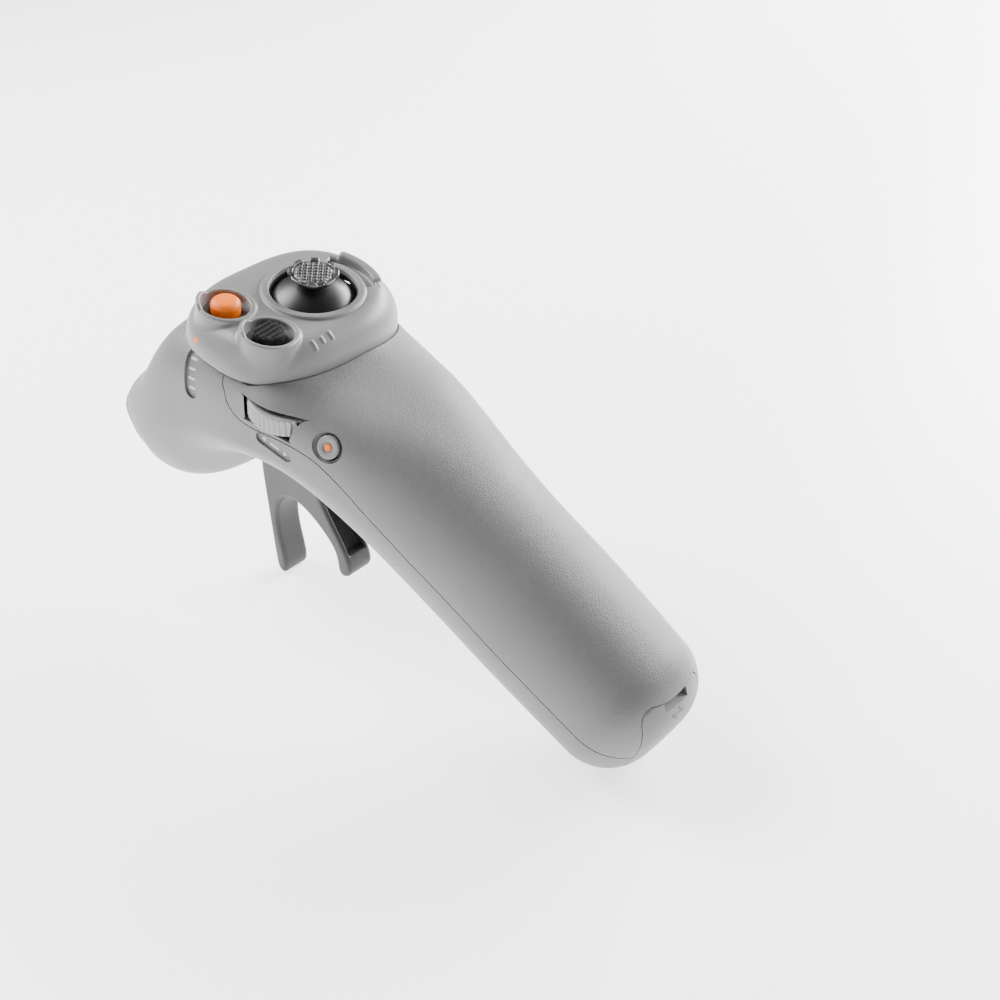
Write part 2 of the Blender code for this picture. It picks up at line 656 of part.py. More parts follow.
def along_grip(low, high, bevel=0.0, centre=None):
    """Box whose X runs along the grip, drawn about a point on the grip's axis."""
    centre = centre if centre is not None else grip_frame(0)
    return box(centre + Vector(low), centre + Vector(high), tilt(GRIP_SLOPE), centre, bevel)


def make_battery(body):
    """Round cell in a cradle, with its lead to the main board."""
    axis = (grip_frame(1) - grip_frame(0)).normalized()
    front = grip_frame(-66.5)
    back = front + axis * BATTERY_LENGTH
    add_object("battery", rod(BATTERY_RADIUS, front, back, 32), "battery_wrap", body)
    start = front + axis * 4.0
    end = back - axis * 4.0
    cradle = add_object("battery_cradle", rod(BATTERY_RADIUS + 1.8, start, end, 32), "inner_plastic", body)
    boolean(cradle, cutter("cradle_hollow", rod(BATTERY_RADIUS + 0.4, front, back, 32), body))
    up = axis.cross(Vector((0, 1, 0)))
    up = up if up.z > 0 else -up
    middle = (start + end) / 2
    half = BATTERY_LENGTH / 2 + 5
    top = along_grip((-half, -14, -3.0), (half, 14, 20), centre=middle)
    boolean(cradle, cutter("cradle_top", top, body))
    route = [
        front + axis * 1.0 + up * 10.6,
        front + up * 10.9 - axis * 4,
        Vector((-29.5, 8.6, -19.4)),
        Vector((-22.0, 9.0, -20.6)),
        Vector((-13.4, 9.6, -22.6)),
    ]
    add_cable("battery_lead", route, 0.7, body)


def add_cable(name, points, radius, parent):
    curve = bpy.data.curves.new(name, "CURVE")
    curve.dimensions = "3D"
    curve.bevel_depth = radius * MM
    curve.bevel_resolution = 2
    curve.use_fill_caps = True
    spline = curve.splines.new("POLY")
    rows = smooth_between([tuple(p) for p in points], 5)
    spline.points.add(len(rows) - 1)
    for point, row in zip(spline.points, rows):
        point.co = (*(Vector(row) * MM), 1.0)
    obj = bpy.data.objects.new(name, curve)
    bpy.context.scene.collection.objects.link(obj)
    obj.parent = parent
    curve.materials.append(material("wire_insulation", *FINISHES["wire_insulation"]))
    return obj


def cover_hinge():
    """Point on the hinge line, at the lower edge of the port cover."""
    slope = math.radians(GRIP_SLOPE)
    upward = Vector((-math.sin(slope), 0, math.cos(slope)))
    return grip_frame(COVER_DEPTH) + upward * (COVER_LOW - 0.2)


def make_port(shells, body, cover):
    """Charging port in the end of the grip, behind a hinged cover."""
    window = along_grip((-60, -COVER_HALF_WIDTH, COVER_LOW), (-3.0, COVER_HALF_WIDTH, COVER_HIGH))
    wide = cutter("cover_window", window, body)
    for shell in shells.values():
        boolean(shell, wide)
    flap = add_object("port_cover", skin(body_rings(0.0)), "body_plastic", cover, cover_hinge())
    boolean(flap, cutter("cover_inside", skin(body_rings(WALL)), body))
    side = COVER_HALF_WIDTH - GAP
    keep = along_grip((-60, -side, COVER_LOW + 4 * GAP), (-3.0 - GAP, side, COVER_HIGH - GAP))
    boolean(flap, cutter("cover_outline", keep, body), "INTERSECT")
    notch = along_grip((-60, -3.6, COVER_HIGH - 2.1), (-3.0, 3.6, COVER_HIGH - 0.9))
    boolean(flap, cutter("cover_notch", notch, body))
    side = COVER_HALF_WIDTH + 0.6
    rim = along_grip((-9.0, -side, COVER_LOW - 2.2), (-7.8, side, COVER_HIGH + 2.0))
    frame = add_object("port_frame", rim, "inner_plastic", body)
    boolean(frame, cutter("port_frame_room", skin(body_rings(WALL + 2 * GAP)), body), "INTERSECT")
    boolean(frame, cutter("port_frame_hole", along_grip((-30, -4.9, -2.1), (30, 4.9, 2.1)), body))
    socket = add_object("usb_socket", along_grip((-9.3, -4.5, -1.65), (-2.0, 4.5, 1.65), 0.5), "steel", body)
    boolean(socket, cutter("usb_mouth", along_grip((-20, -4.1, -1.25), (-3.4, 4.1, 1.25)), body))
    tongue = along_grip((-8.0, -3.3, -0.35), (-3.0, 3.3, 0.35))
    boolean(socket, cutter("usb_tongue", tongue, body), "UNION")
    board = along_grip((-7.4, -7.5, -3.1), (-1.2, 7.5, -2.0), 0.1)
    add_object("charging_board", board, "circuit_board", body)


def make_openings(shells, body):
    """Openings in the casing for the trigger, the dial and the record button."""
    slot = slab([(-12.5, -33.4), (-12.5, -62), (13.5, -62), (13.5, -33.4)], TRIGGER_HALF_WIDTH + 1.0)
    boolean(shells["front_shell"], cutter("trigger_slot", slot, body))
    radius, half = DIAL_RADIUS + 0.7, DIAL_HALF_HEIGHT + 0.5
    room = turned([(radius, -half), (radius, half)], DIAL, steps=40)
    boolean(shells["rear_shell"], cutter("dial_slot", room, body))
    radius = RECORD_RADIUS + GAP
    funnel = [(radius, -8), (radius, 0.5), (RECORD_RADIUS + 1.0, 1.2), (RECORD_RADIUS + 1.0, 4.0)]
    hole = turned(funnel, RECORD - RECORD_NORMAL * 0.6, RECORD_NORMAL, 32)
    boolean(shells["rear_shell"], cutter("record_hole", hole, body))


def main():
    clear_scene()
    controller = bpy.data.objects.new("controller", None)
    bpy.context.scene.collection.objects.link(controller)
    controller.rotation_euler = (0, math.radians(-REST_LEAN), 0)
    controller.location = REST_PLACE * MM
    body = add_empty("body_frame", (0, 0, 0), controller)
    shells = make_shells(body)
    make_cap(body)
    across = add_empty("stick_roll_axis", STICK, body)
    along = add_empty("stick_pitch_axis", STICK, across)
    make_joystick(body, across, along)
    lock = add_empty("lock_travel", LOCK, body)
    mode = add_empty("mode_travel", MODE, body)
    record = add_empty("record_travel", RECORD, body)
    make_buttons(body, lock, mode, record)
    make_dial(body, add_empty("dial_axis", DIAL, body))
    make_trigger(body, add_empty("trigger_axis", TRIGGER_PIVOT, body))
    make_electronics(body)
    make_battery(body)
    make_openings(shells, body)
    make_port(shells, body, add_empty("cover_axis", cover_hinge(), body))


main()
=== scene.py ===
"""Looks of the one-hand motion controller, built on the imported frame.

Shapes are drawn in the head frame: millimetres, X forward, Y left, Z along the normal of the top
cap, origin on the cap. HEAD takes them into the row frame.
"""
import json
import math

import bmesh
import bpy
import numpy as np
import openvdb
from mathutils import Matrix, Vector
from mathutils.bvhtree import BVHTree


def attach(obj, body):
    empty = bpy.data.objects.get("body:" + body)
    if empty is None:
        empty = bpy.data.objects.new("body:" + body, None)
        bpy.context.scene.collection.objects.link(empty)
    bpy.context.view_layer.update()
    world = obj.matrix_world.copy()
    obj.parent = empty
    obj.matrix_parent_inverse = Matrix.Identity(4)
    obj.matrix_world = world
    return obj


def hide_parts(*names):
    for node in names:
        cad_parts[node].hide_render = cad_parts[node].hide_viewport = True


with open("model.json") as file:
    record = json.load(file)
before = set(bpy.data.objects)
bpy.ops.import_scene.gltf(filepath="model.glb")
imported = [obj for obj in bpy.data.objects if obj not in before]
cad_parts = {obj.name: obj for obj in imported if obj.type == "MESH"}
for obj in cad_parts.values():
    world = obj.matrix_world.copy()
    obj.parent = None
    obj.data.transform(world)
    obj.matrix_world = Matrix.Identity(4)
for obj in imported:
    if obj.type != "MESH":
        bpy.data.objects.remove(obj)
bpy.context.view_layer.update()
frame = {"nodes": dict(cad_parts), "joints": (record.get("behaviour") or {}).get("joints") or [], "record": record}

MM = 0.001
SEAM = 0.3
GRIP_SLOPE = 19.0
WALL = 2.0
NECK_WALL = 1.3

CAP_SEAM = -8.0
SHELL_TOP = CAP_SEAM - 0.45
CAP_CENTRE_X = 1.5
CAP_HALF_LENGTH = 19.3
CAP_HALF_WIDTH = 23.7
CAP_EXPONENT = 2.6
CAP_SHOULDER = 6.0
CAP_WALL = 1.8
CORNER_FALL = 2.7

STICK = (0.0, -4.6, -11.1)
DOME_RADIUS = 13.5
DOME_OPENING = 9.8
STICK_CAP_RADIUS = 5.7
STEM_RADIUS = 2.15

LOCK = (7.0, 14.6, 0.5)
MODE = (-7.0, 14.2, 0.5)
BUTTON_RADIUS = 3.3
WELL_RADIUS = 5.4
WELL_FLOOR = -0.9
CUP_RADIUS = 6.4
CUP_FOOT = -3.0
EAR_DIRECTION = math.radians(43)

# Guard fin: its circle about the joystick, half its swing and the middle of the trench inside it
FIN_RADIUS = 15.2
FIN_HALF_SWING = math.radians(22)
TRENCH_RADIUS = 13.2

DIAL = (-14.9, 15.3, -12.9)
DIAL_RADIUS = 9.4
DIAL_HALF_HEIGHT = 2.1
DIAL_RIBS = 46
DIAL_BORE = 1.5
DIAL_ROOM = DIAL_RADIUS + 0.7

# Swelling of the casing over the dial: x and z of its middle, its reach and its height
SWELL_PLACE = (-15.5, -9.6)
SWELL_REACH = (6.5, 2.4)
SWELL_HEIGHT = 1.5

RECORD = (-31.0, 19.45, -13.2)
RECORD_NORMAL = (-0.24, 0.87, 0.45)
RECORD_RADIUS = 2.6

TRIGGER_PIVOT = (-1.0, 0.0, -30.0)
TRIGGER_HUB = 3.6
TRIGGER_BORE = 1.6
TRIGGER_HALF_WIDTH = 3.8

COVER_HALF_WIDTH = 9.4
COVER_LOW = -6.4
COVER_HIGH = 12.4
COVER_CORNER = 3.4
COVER_GAP = 0.22
HINGE_GAP = 1.2

# Stations of the casing: x, z, lean of the spine, half width, up, down, squareness over and under
STATIONS = (
    (35.6, -44.2, 34, 21.8, 9.5, 14.0, 3.0, 3.0),
    (31.8, -41.0, 34, 24.0, 10.6, 18.8, 3.2, 3.0),
    (24.6, -36.2, 33, 25.2, 13.2, 20.4, 3.4, 2.7),
    (12.0, -29.0, 24, 25.4, 21.6, 14.8, 3.8, 2.1),
    (-4.0, -23.6, 8, 24.8, 19.6, 12.4, 4.1, 2.0),
    (-20.0, -22.0, -6, 22.7, 14.6, 12.9, 4.4, 2.0),
    (-39.5, -25.3, -16, 19.6, 15.9, 17.4, 2.6, 2.1),
    (-60.0, -32.4, -19, 17.9, 16.3, 17.7, 2.2, 2.2),
    (-82.0, -40.0, -19, 17.4, 16.4, 17.4, 2.2, 2.2),
    (-102.0, -46.9, -19, 16.5, 15.5, 16.8, 2.2, 2.2),
)
NOSE_ROUND = 5.5
GRIP_ROUND = 12.0
SECTION_POINTS = 144
STEPS_BETWEEN = 8
END_STEPS = 14

# Parting line of the two grip shells, seen from the left: x, z
PARTING = (
    (-1.6, 6.0),
    (-1.7, -8.6),
    (-3.2, -12.0),
    (-5.0, -14.8),
    (-7.9, -16.6),
    (-11.4, -17.1),
    (-16.0, -16.8),
    (-21.0, -16.5),
    (-25.6, -16.8),
    (-29.4, -17.6),
    (-33.0, -19.2),
    (-37.4, -21.6),
    (-42.0, -24.3),
    (-50.0, -28.1),
    (-60.0, -32.2),
    (-102.0, -46.9),
    (-130.0, -56.5),
)

# Side view of the trigger from the hub down the front prong, up between the two and round the rear one: x, z
TRIGGER_OUTLINE = [
    (-4.4, -33.0), (-4.0, -29.0), (-2.4, -27.2), (0.2, -27.2), (2.4, -29.0), (4.6, -34.0),
    (8.6, -41.0), (10.2, -50.0), (9.4, -56.0), (8.0, -63.6), (6.8, -70.4), (5.4, -78.2), (4.5, -82.6),
    (3.0, -83.9), (1.4, -83.5), (0.9, -80.8), (1.8, -77.2), (3.6, -71.4), (4.4, -66.0), (3.6, -60.6),
    (1.0, -57.4), (-1.8, -56.3), (-5.0, -56.4), (-9.3, -57.8), (-13.5, -60.2), (-16.4, -62.6),
    (-17.6, -65.4), (-18.2, -68.8), (-19.8, -69.7), (-21.8, -68.4), (-22.6, -65.4), (-20.0, -60.6),
    (-13.0, -52.4), (-7.6, -44.0),
]
SCOOP_OUTLINE = [
    (-6.2, -48.6), (-8.4, -54.2), (-13.4, -58.4), (-18.4, -63.2), (-30.0, -61.0), (-15.0, -44.0),
]

# Sunk labels: middle, direction along, direction outward, length and width
LABELS = {
    "lock": ((8.2, 24.3, -13.7), (-0.22, 0, -1), (0.06, 0.96, 0.28), 12.0, 4.2),
    "fn": ((-17.8, 23.05, -19.3), (-0.98, 0, -0.2), (-0.14, 0.99, 0), 10.0, 3.0),
}
LABEL_DEPTH = 0.55

# Camera and lights in the row frame, in metres
CAMERA_LENS = 53.93
CAMERA_PLACE = (-0.215361, 0.18485, 0.225549)
CAMERA_RIGHT = (-0.7351, -0.67523, -0.06076)
CAMERA_UP = (0.33867, -0.44338, 0.82989)
# Name, place, aim, size and power
LIGHTS = (
    ("key", (0.5, 0.12, 0.55), (0.01, 0, 0.05), (0.35, 0.35), 12.0),
    ("rim", (-0.1, -0.8, 0.35), (-0.04, 0, 0.03), (0.8, 0.3), 30.0),
    ("side", (0.1, 0.8, 0.3), (0.03, 0, 0.05), (0.3, 0.3), 2.5),
)
SKY_STRENGTH = 0.2
FLOOR_GLOW = 1.9

JOINTS = {joint["name"]: joint for joint in frame["joints"]}


def head_matrix():
    """Head frame in millimetres to the row frame in metres, read from the record's joints."""
    across = Vector(JOINTS["stick_roll"]["axis"]).normalized()
    upward = Vector(JOINTS["dial_turn"]["axis"]).normalized()
    side = upward.cross(across)
    origin = Vector(JOINTS["stick_roll"]["pos_m"])
    origin -= (across * STICK[0] + side * STICK[1] + upward * STICK[2]) * MM
    columns = [across * MM, side * MM, upward * MM]
    rows = [[columns[k][i] for k in range(3)] + [origin[i]] for i in range(3)]
    return Matrix(rows + [[0, 0, 0, 1]])


HEAD = head_matrix()


# ---------------------------------------------------------------- camera, light and floor


def add_camera():
    data = bpy.data.cameras.new("camera")
    data.sensor_width = 36.0
    data.lens = CAMERA_LENS
    data.clip_start, data.clip_end = 0.02, 20.0
    camera = bpy.data.objects.new("camera", data)
    right, up = Vector(CAMERA_RIGHT), Vector(CAMERA_UP)
    back = right.cross(up)
    turn = Matrix([[right[i], up[i], back[i]] for i in range(3)]).to_4x4()
    camera.matrix_world = Matrix.Translation(CAMERA_PLACE) @ turn
    bpy.context.scene.collection.objects.link(camera)
    bpy.context.scene.camera = camera


def add_light(name, place, target, size, power):
    data = bpy.data.lights.new(name, "AREA")
    data.shape = "RECTANGLE"
    data.size, data.size_y = size
    data.energy = power
    light = bpy.data.objects.new(name, data)
    light.location = place
    light.rotation_euler = (Vector(target) - Vector(place)).to_track_quat("-Z", "Y").to_euler()
    bpy.context.scene.collection.objects.link(light)


def add_studio():
    world = bpy.data.worlds.new("studio")
    world.use_nodes = True
    sky = world.node_tree.nodes["Background"]
    sky.inputs["Color"].default_value = (1.0, 1.0, 1.0, 1.0)
    sky.inputs["Strength"].default_value = SKY_STRENGTH
    bpy.context.scene.world = world
    for light in LIGHTS:
        add_light(*light)
    bm = bmesh.new()
    bmesh.ops.create_grid(bm, x_segments=1, y_segments=1, size=4.0)
    mesh = bpy.data.meshes.new("floor")
    bm.to_mesh(mesh)
    bm.free()
    floor = bpy.data.objects.new("floor", mesh)
    floor.location.z = -0.0002
    bpy.context.scene.collection.objects.link(floor)
    floor.data.materials.append(floor_material())


# ---------------------------------------------------------------- materials


def new_material(name):
    made = bpy.data.materials.new(name)
    made.use_nodes = True
    return made, made.node_tree, made.node_tree.nodes["Principled BSDF"]


def floor_material():
    made, _, shader = new_material("studio_floor")
    shader.inputs["Base Color"].default_value = (0.93, 0.93, 0.93, 1)
    shader.inputs["Roughness"].default_value = 0.35
    shader.inputs["Emission Color"].default_value = (1, 1, 1, 1)
    shader.inputs["Emission Strength"].default_value = FLOOR_GLOW
    return made


def noise(tree, scale, detail=2.0, stretch=None):
    """Noise over the object's own coordinates; scale is in waves per metre."""
    place = tree.nodes.new("ShaderNodeTexCoord")
    made = tree.nodes.new("ShaderNodeTexNoise")
    made.inputs["Scale"].default_value = scale
    made.inputs["Detail"].default_value = detail
    if stretch is None:
        tree.links.new(place.outputs["Object"], made.inputs["Vector"])
    else:
        mapping = tree.nodes.new("ShaderNodeMapping")
        mapping.inputs["Scale"].default_value = stretch
        tree.links.new(place.outputs["Object"], mapping.inputs["Vector"])
        tree.links.new(mapping.outputs["Vector"], made.inputs["Vector"])
    return made.outputs["Fac"]


def ranged(tree, value, low, high, to_low=0.0, to_high=1.0):
    made = tree.nodes.new("ShaderNodeMapRange")
    made.inputs["From Min"].default_value = low
    made.inputs["From Max"].default_value = high
    made.inputs["To Min"].default_value = to_low
    made.inputs["To Max"].default_value = to_high
    tree.links.new(value, made.inputs["Value"])
    return made.outputs["Result"]


def mixed(tree, share, one, two):
    made = tree.nodes.new("ShaderNodeMix")
    made.data_type = "RGBA"
    tree.links.new(share, made.inputs["Factor"])
    for socket, colour in ((made.inputs["A"], one), (made.inputs["B"], two)):
        if isinstance(colour, tuple):
            socket.default_value = (*colour, 1.0)
        else:
            tree.links.new(colour, socket)
    return made.outputs["Result"]


def bumped(tree, shader, height, depth):
    made = tree.nodes.new("ShaderNodeBump")
    made.inputs["Strength"].default_value = 1.0
    made.inputs["Distance"].default_value = depth
    tree.links.new(height, made.inputs["Height"])
    tree.links.new(made.outputs["Normal"], shader.inputs["Normal"])


def shade(colour, factor, lift=0.0):
    return tuple(min(1.0, c * factor + lift) for c in colour)


def moulded(name, colour, rough, grain=3200.0, depth=0.00003, edge_wear_and_highlight=0.12, gloss=0.5):
    """Moulded plastic: spark-eroded grain, faint mottling, and edges lightened by pointiness, partly wear on
    handled edges and partly painted highlight along them.
    """
    made, tree, shader = new_material(name)
    fine = noise(tree, grain, 2.5)
    broad = noise(tree, 45.0, 3.0)
    speck = ranged(tree, fine, 0.35, 0.68)
    body = mixed(tree, speck, shade(colour, 0.93), shade(colour, 1.06))
    mottled = mixed(tree, ranged(tree, broad, 0.3, 0.7, 0.0, 0.35), body, shade(colour, 0.94))
    shape = tree.nodes.new("ShaderNodeNewGeometry")
    # Edge lightening: partly wear on handled edges, partly painted highlight along edges and ridges.
    edge = ranged(tree, shape.outputs["Pointiness"], 0.52, 0.6, 0.0, edge_wear_and_highlight)
    worn_and_highlit = mixed(tree, edge, mottled, shade(colour, 1.4, 0.03))
    tree.links.new(worn_and_highlit, shader.inputs["Base Color"])
    tree.links.new(ranged(tree, broad, 0.3, 0.7, rough - 0.05, rough + 0.06), shader.inputs["Roughness"])
    shader.inputs["Specular IOR Level"].default_value = gloss
    bumped(tree, shader, fine, depth)
    return made


def turned_metal(name, colour, rough, depth=0.000006):
    """Machined metal with fine tool lines and smudges."""
    made, tree, shader = new_material(name)
    lines = noise(tree, 900.0, 3.0, (1.0, 1.0, 9.0))
    smudge = noise(tree, 120.0, 3.0)
    tree.links.new(mixed(tree, smudge, shade(colour, 0.8), shade(colour, 1.15)), shader.inputs["Base Color"])
    tree.links.new(ranged(tree, lines, 0.3, 0.7, rough - 0.08, rough + 0.1), shader.inputs["Roughness"])
    shader.inputs["Metallic"].default_value = 1.0
    bumped(tree, shader, lines, depth)
    return made


def circuit(name):
    """Dark green solder mask with faint copper runs under it."""
    made, tree, shader = new_material(name)
    place = tree.nodes.new("ShaderNodeTexCoord")
    runs = tree.nodes.new("ShaderNodeTexBrick")
    runs.inputs["Scale"].default_value = 260.0
    runs.inputs["Mortar Size"].default_value = 0.03
    runs.inputs["Color1"].default_value = (0.012, 0.075, 0.04, 1)
    runs.inputs["Color2"].default_value = (0.016, 0.09, 0.05, 1)
    runs.inputs["Mortar"].default_value = (0.03, 0.16, 0.08, 1)
    tree.links.new(place.outputs["Object"], runs.inputs["Vector"])
    tree.links.new(runs.outputs["Color"], shader.inputs["Base Color"])
    tree.links.new(ranged(tree, noise(tree, 300.0), 0.3, 0.7, 0.35, 0.55), shader.inputs["Roughness"])
    bumped(tree, shader, runs.outputs["Fac"], 0.00001)
    return made


MATERIALS = {
    "body_plastic": moulded("body_grain", (0.15, 0.148, 0.146), 0.46, grain=3800.0, depth=0.00012),
    "cap_plastic": moulded("cap_satin", (0.18, 0.18, 0.178), 0.4, depth=0.00002, edge_wear_and_highlight=0.2),
    "dial_plastic": moulded("dial_satin", (0.3, 0.3, 0.298), 0.4, depth=0.00001, edge_wear_and_highlight=0.3),
    "trigger_plastic": moulded("trigger_satin", (0.03, 0.03, 0.032), 0.45, depth=0.000015, edge_wear_and_highlight=0.2,
                               gloss=0.3),
    # The strong edge lightening here is painted highlight along the ridges of the mode key.
    "button_plastic": moulded("button_satin", (0.016, 0.016, 0.017), 0.42, depth=0.000012, edge_wear_and_highlight=0.6,
                              gloss=0.25),
    "orange_plastic": moulded("orange_satin", (0.92, 0.17, 0.0), 0.5, depth=0.000006, edge_wear_and_highlight=0.1, gloss=0.3),
    "gloss_plastic": moulded("dome_satin", (0.008, 0.008, 0.009), 0.36, depth=0.000004, edge_wear_and_highlight=0.0,
                             gloss=0.35),
    "gunmetal": turned_metal("gunmetal_crown", (0.16, 0.16, 0.162), 0.4),
    "knurl_metal": turned_metal("knurl_top", (0.16, 0.16, 0.158), 0.42),
    "steel": turned_metal("bright_steel", (0.6, 0.6, 0.61), 0.3),
    "circuit_board": circuit("solder_mask"),
    "inner_plastic": moulded("inner_grain", (0.022, 0.022, 0.024), 0.55, depth=0.00003),
    "battery_wrap": moulded("shrink_sleeve", (0.05, 0.14, 0.32), 0.35, grain=700.0, depth=0.00001),
    "wire_insulation": moulded("wire_skin", (0.45, 0.02, 0.015), 0.45, grain=2500.0, depth=0.00001),
    # Dark colour of the rings on the button well floors: painted shade in the recesses.
    "well_floor_shade": moulded("well_painted_shade", (0.085, 0.08, 0.076), 0.55, depth=0.00001),
    # Black behind the seams: painted shade in the gaps.
    "seam_painted_shade": moulded("seam_painted_shade", (0.01, 0.01, 0.011), 0.8, depth=0.00001, edge_wear_and_highlight=0.0),
    "label_ink": moulded("label_ink", (0.5, 0.5, 0.5), 0.45, depth=0.000006),
    "dark_ink": moulded("dark_ink", (0.045, 0.045, 0.045), 0.45, depth=0.000006),
}


# ---------------------------------------------------------------- mesh helpers


def piece(name, mesh, finish, body, stands_for=(), angle=38):
    """Object of a mesh in head-frame millimetres, shown on its body in place of the CAD nodes named."""
    mesh.transform(HEAD)
    mesh.shade_smooth()
    mesh.set_sharp_from_angle(angle=math.radians(angle))
    obj = bpy.data.objects.new(name, mesh)
    bpy.context.scene.collection.objects.link(obj)
    mesh.materials.clear()
    mesh.materials.append(MATERIALS[finish])
    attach(obj, body)
    if stands_for:
        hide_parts(*stands_for)
    return obj


def mesh_of(name, points, faces):
    mesh = bpy.data.meshes.new(name)
    mesh.from_pydata([tuple(p) for p in points], [], [tuple(f) for f in faces])
    outward(mesh)
    return mesh


def outward(mesh):
    bm = bmesh.new()
    bm.from_mesh(mesh)
    bmesh.ops.recalc_face_normals(bm, faces=bm.faces)
    bm.to_mesh(mesh)
    bm.free()


def skin(rings):
    """Closed mesh through rings of equal length, with flat ends."""
    count = len(rings[0])
    points = [p for ring in rings for p in ring]
    faces = [list(range(count))[::-1], list(range(len(points) - count, len(points)))]
    for k in range(len(rings) - 1):
        for i in range(count):
            j = (i + 1) % count
            faces.append((k * count + i, k * count + j, (k + 1) * count + j, (k + 1) * count + i))
    return mesh_of("skin", points, faces)


def turned(profile, centre, axis=(0, 0, 1), steps=96, swell=None):
    """Solid of revolution of (radius, height) from bottom to top; swell changes the radius by angle."""
    turn = Vector((0, 0, 1)).rotation_difference(Vector(axis)).to_matrix()
    rings = []
    for radius, height in profile:
        ring = []
        for i in range(steps):
            angle = 2 * math.pi * i / steps
            wide = radius if swell is None else swell(radius, height, angle)
            flat = Vector((wide * math.cos(angle), wide * math.sin(angle), height))
            ring.append(Vector(centre) + turn @ flat)
        rings.append(ring)
    return skin(rings)


def box(low, high, turn=None, about=(0, 0, 0)):
    """Box between two corners, turned about a point."""
    points = []
    for corner in ((x, y, z) for x in (0, 1) for y in (0, 1) for z in (0, 1)):
        point = Vector([low[i] + corner[i] * (high[i] - low[i]) for i in range(3)])
        if turn is not None:
            point = Vector(about) + turn @ (point - Vector(about))
        points.append(point)
    faces = [(0, 1, 3, 2), (4, 6, 7, 5), (0, 4, 5, 1), (2, 3, 7, 6), (0, 2, 6, 4), (1, 5, 7, 3)]
    return mesh_of("box", points, faces)


def slab(outline, half_width):
    """Outline of (x, z) points pulled out to both sides."""
    return skin([[Vector((x, side, z)) for x, z in outline] for side in (-half_width, half_width)])


def cut(mesh, *tools):
    """Applies (operation, mesh) tools in turn and returns the resulting mesh."""
    target = bpy.data.objects.new("target", mesh)
    bpy.context.scene.collection.objects.link(target)
    helpers = []
    for operation, tool in tools:
        helper = bpy.data.objects.new("tool", tool)
        bpy.context.scene.collection.objects.link(helper)
        helpers.append(helper)
        modifier = target.modifiers.new("cut", "BOOLEAN")
        modifier.operation, modifier.object, modifier.solver = operation, helper, "EXACT"
    bpy.context.view_layer.update()
    graph = bpy.context.evaluated_depsgraph_get()
    made = bpy.data.meshes.new_from_object(target.evaluated_get(graph))
    for obj in [target, *helpers]:
        data = obj.data
        bpy.data.objects.remove(obj)
        bpy.data.meshes.remove(data)
    return made


def flat_ring(inner, outer, low, high, centre):
    """Flat ring between two radii and two heights."""
    hole = turned([(inner, low - 1), (inner, high + 1)], centre)
    return cut(turned([(outer, low), (outer, high)], centre), ("DIFFERENCE", hole))


def arc(centre, radii, start, end, steps):
    """Points of an elliptical arc as (radius, height)."""
    made = []
    for k in range(steps + 1):
        angle = math.radians(start + (end - start) * k / steps)
        made.append((centre[0] + radii[0] * math.cos(angle), centre[1] + radii[1] * math.sin(angle)))
    return made


# ---------------------------------------------------------------- implicit solids


def smooth_min(a, b, k):
    """Union of two fields, blended over the distance k."""
    h = np.clip(0.5 + 0.5 * (b - a) / k, 0, 1)
    return b * (1 - h) + a * h - k * h * (1 - h)


def smooth_max(a, b, k):
    """Common part of two fields, blended over the distance k."""
    return -smooth_min(-a, -b, k)


def grid_of(low, high, step):
    axes = [np.arange(low[i], high[i] + step, step, dtype=np.float32) for i in range(3)]
    return np.meshgrid(*axes, indexing="ij")


def surface(field, low, step):
    """Mesh of the zero surface of a field sampled on a grid, negative inside."""
    grid = openvdb.FloatGrid()
    grid.background = 3 * step
    grid.copyFromArray(np.clip(field, -3 * step, 3 * step).astype(np.float32))
    points, quads = grid.convertToQuads(0.0)
    return mesh_of("surface", np.asarray(points) * step + np.array(low), np.asarray(quads))


def polygon_distance(x, z, outline):
    """Signed distance from points to a closed outline, negative inside."""
    best = np.full(x.shape, 1e9, np.float32)
    inside = np.zeros(x.shape, bool)
    for (ax, az), (bx, bz) in zip(outline, outline[1:] + outline[:1]):
        ex, ez = bx - ax, bz - az
        t = np.clip(((x - ax) * ex + (z - az) * ez) / (ex * ex + ez * ez), 0, 1)
        best = np.minimum(best, np.hypot(x - ax - t * ex, z - az - t * ez))
        if az != bz:
            crosses = (az > z) != (bz > z)
            inside ^= crosses & (x < (bx - ax) * (z - az) / (bz - az) + ax)
    return np.where(inside, -best, best)


def rounded_outline(outline):
    """Closed outline with its corners cut back and rounded."""
    for _ in range(3):
        made = []
        for (ax, az), (bx, bz) in zip(outline, outline[1:] + outline[:1]):
            made.append((0.75 * ax + 0.25 * bx, 0.75 * az + 0.25 * bz))
            made.append((0.25 * ax + 0.75 * bx, 0.25 * az + 0.75 * bz))
        outline = made
    return outline


# ---------------------------------------------------------------- casing


def catmull(a, b, c, d, t):
    cube = 3 * b - 3 * c + d - a
    return 0.5 * (2 * b + (c - a) * t + (2 * a - 5 * b + 4 * c - d) * t**2 + cube * t**3)


def smooth_between(table, steps):
    rows = []
    last = len(table) - 1
    for i in range(last):
        a, b, c, d = (table[max(0, min(last, i + k))] for k in (-1, 0, 1, 2))
        for step in range(steps):
            rows.append(tuple(catmull(p, q, r, s, step / steps) for p, q, r, s in zip(a, b, c, d)))
    rows.append(table[-1])
    return rows


def power(value, exponent):
    return math.copysign(abs(value) ** exponent, value)


def seam_drop(x, y):
    """How far the seam of the cap falls below its level towards the rear right corner."""
    side = np.clip((-y - 2.0) / 20.0, 0, 1)
    rear = np.clip((2.0 - x) / 14.0, 0, 1)
    return CORNER_FALL * side * side * (3 - 2 * side) * rear * rear * (3 - 2 * rear)


def corner_drop(point):
    """How far the casing falls away under the rear right corner of the cap."""
    along = min(1.0, max(0.0, (point.x + 46.0) / 22.0))
    high = min(1.0, max(0.0, (point.z + 18.0) / 8.0))
    return seam_drop(point.x, point.y) * along * high


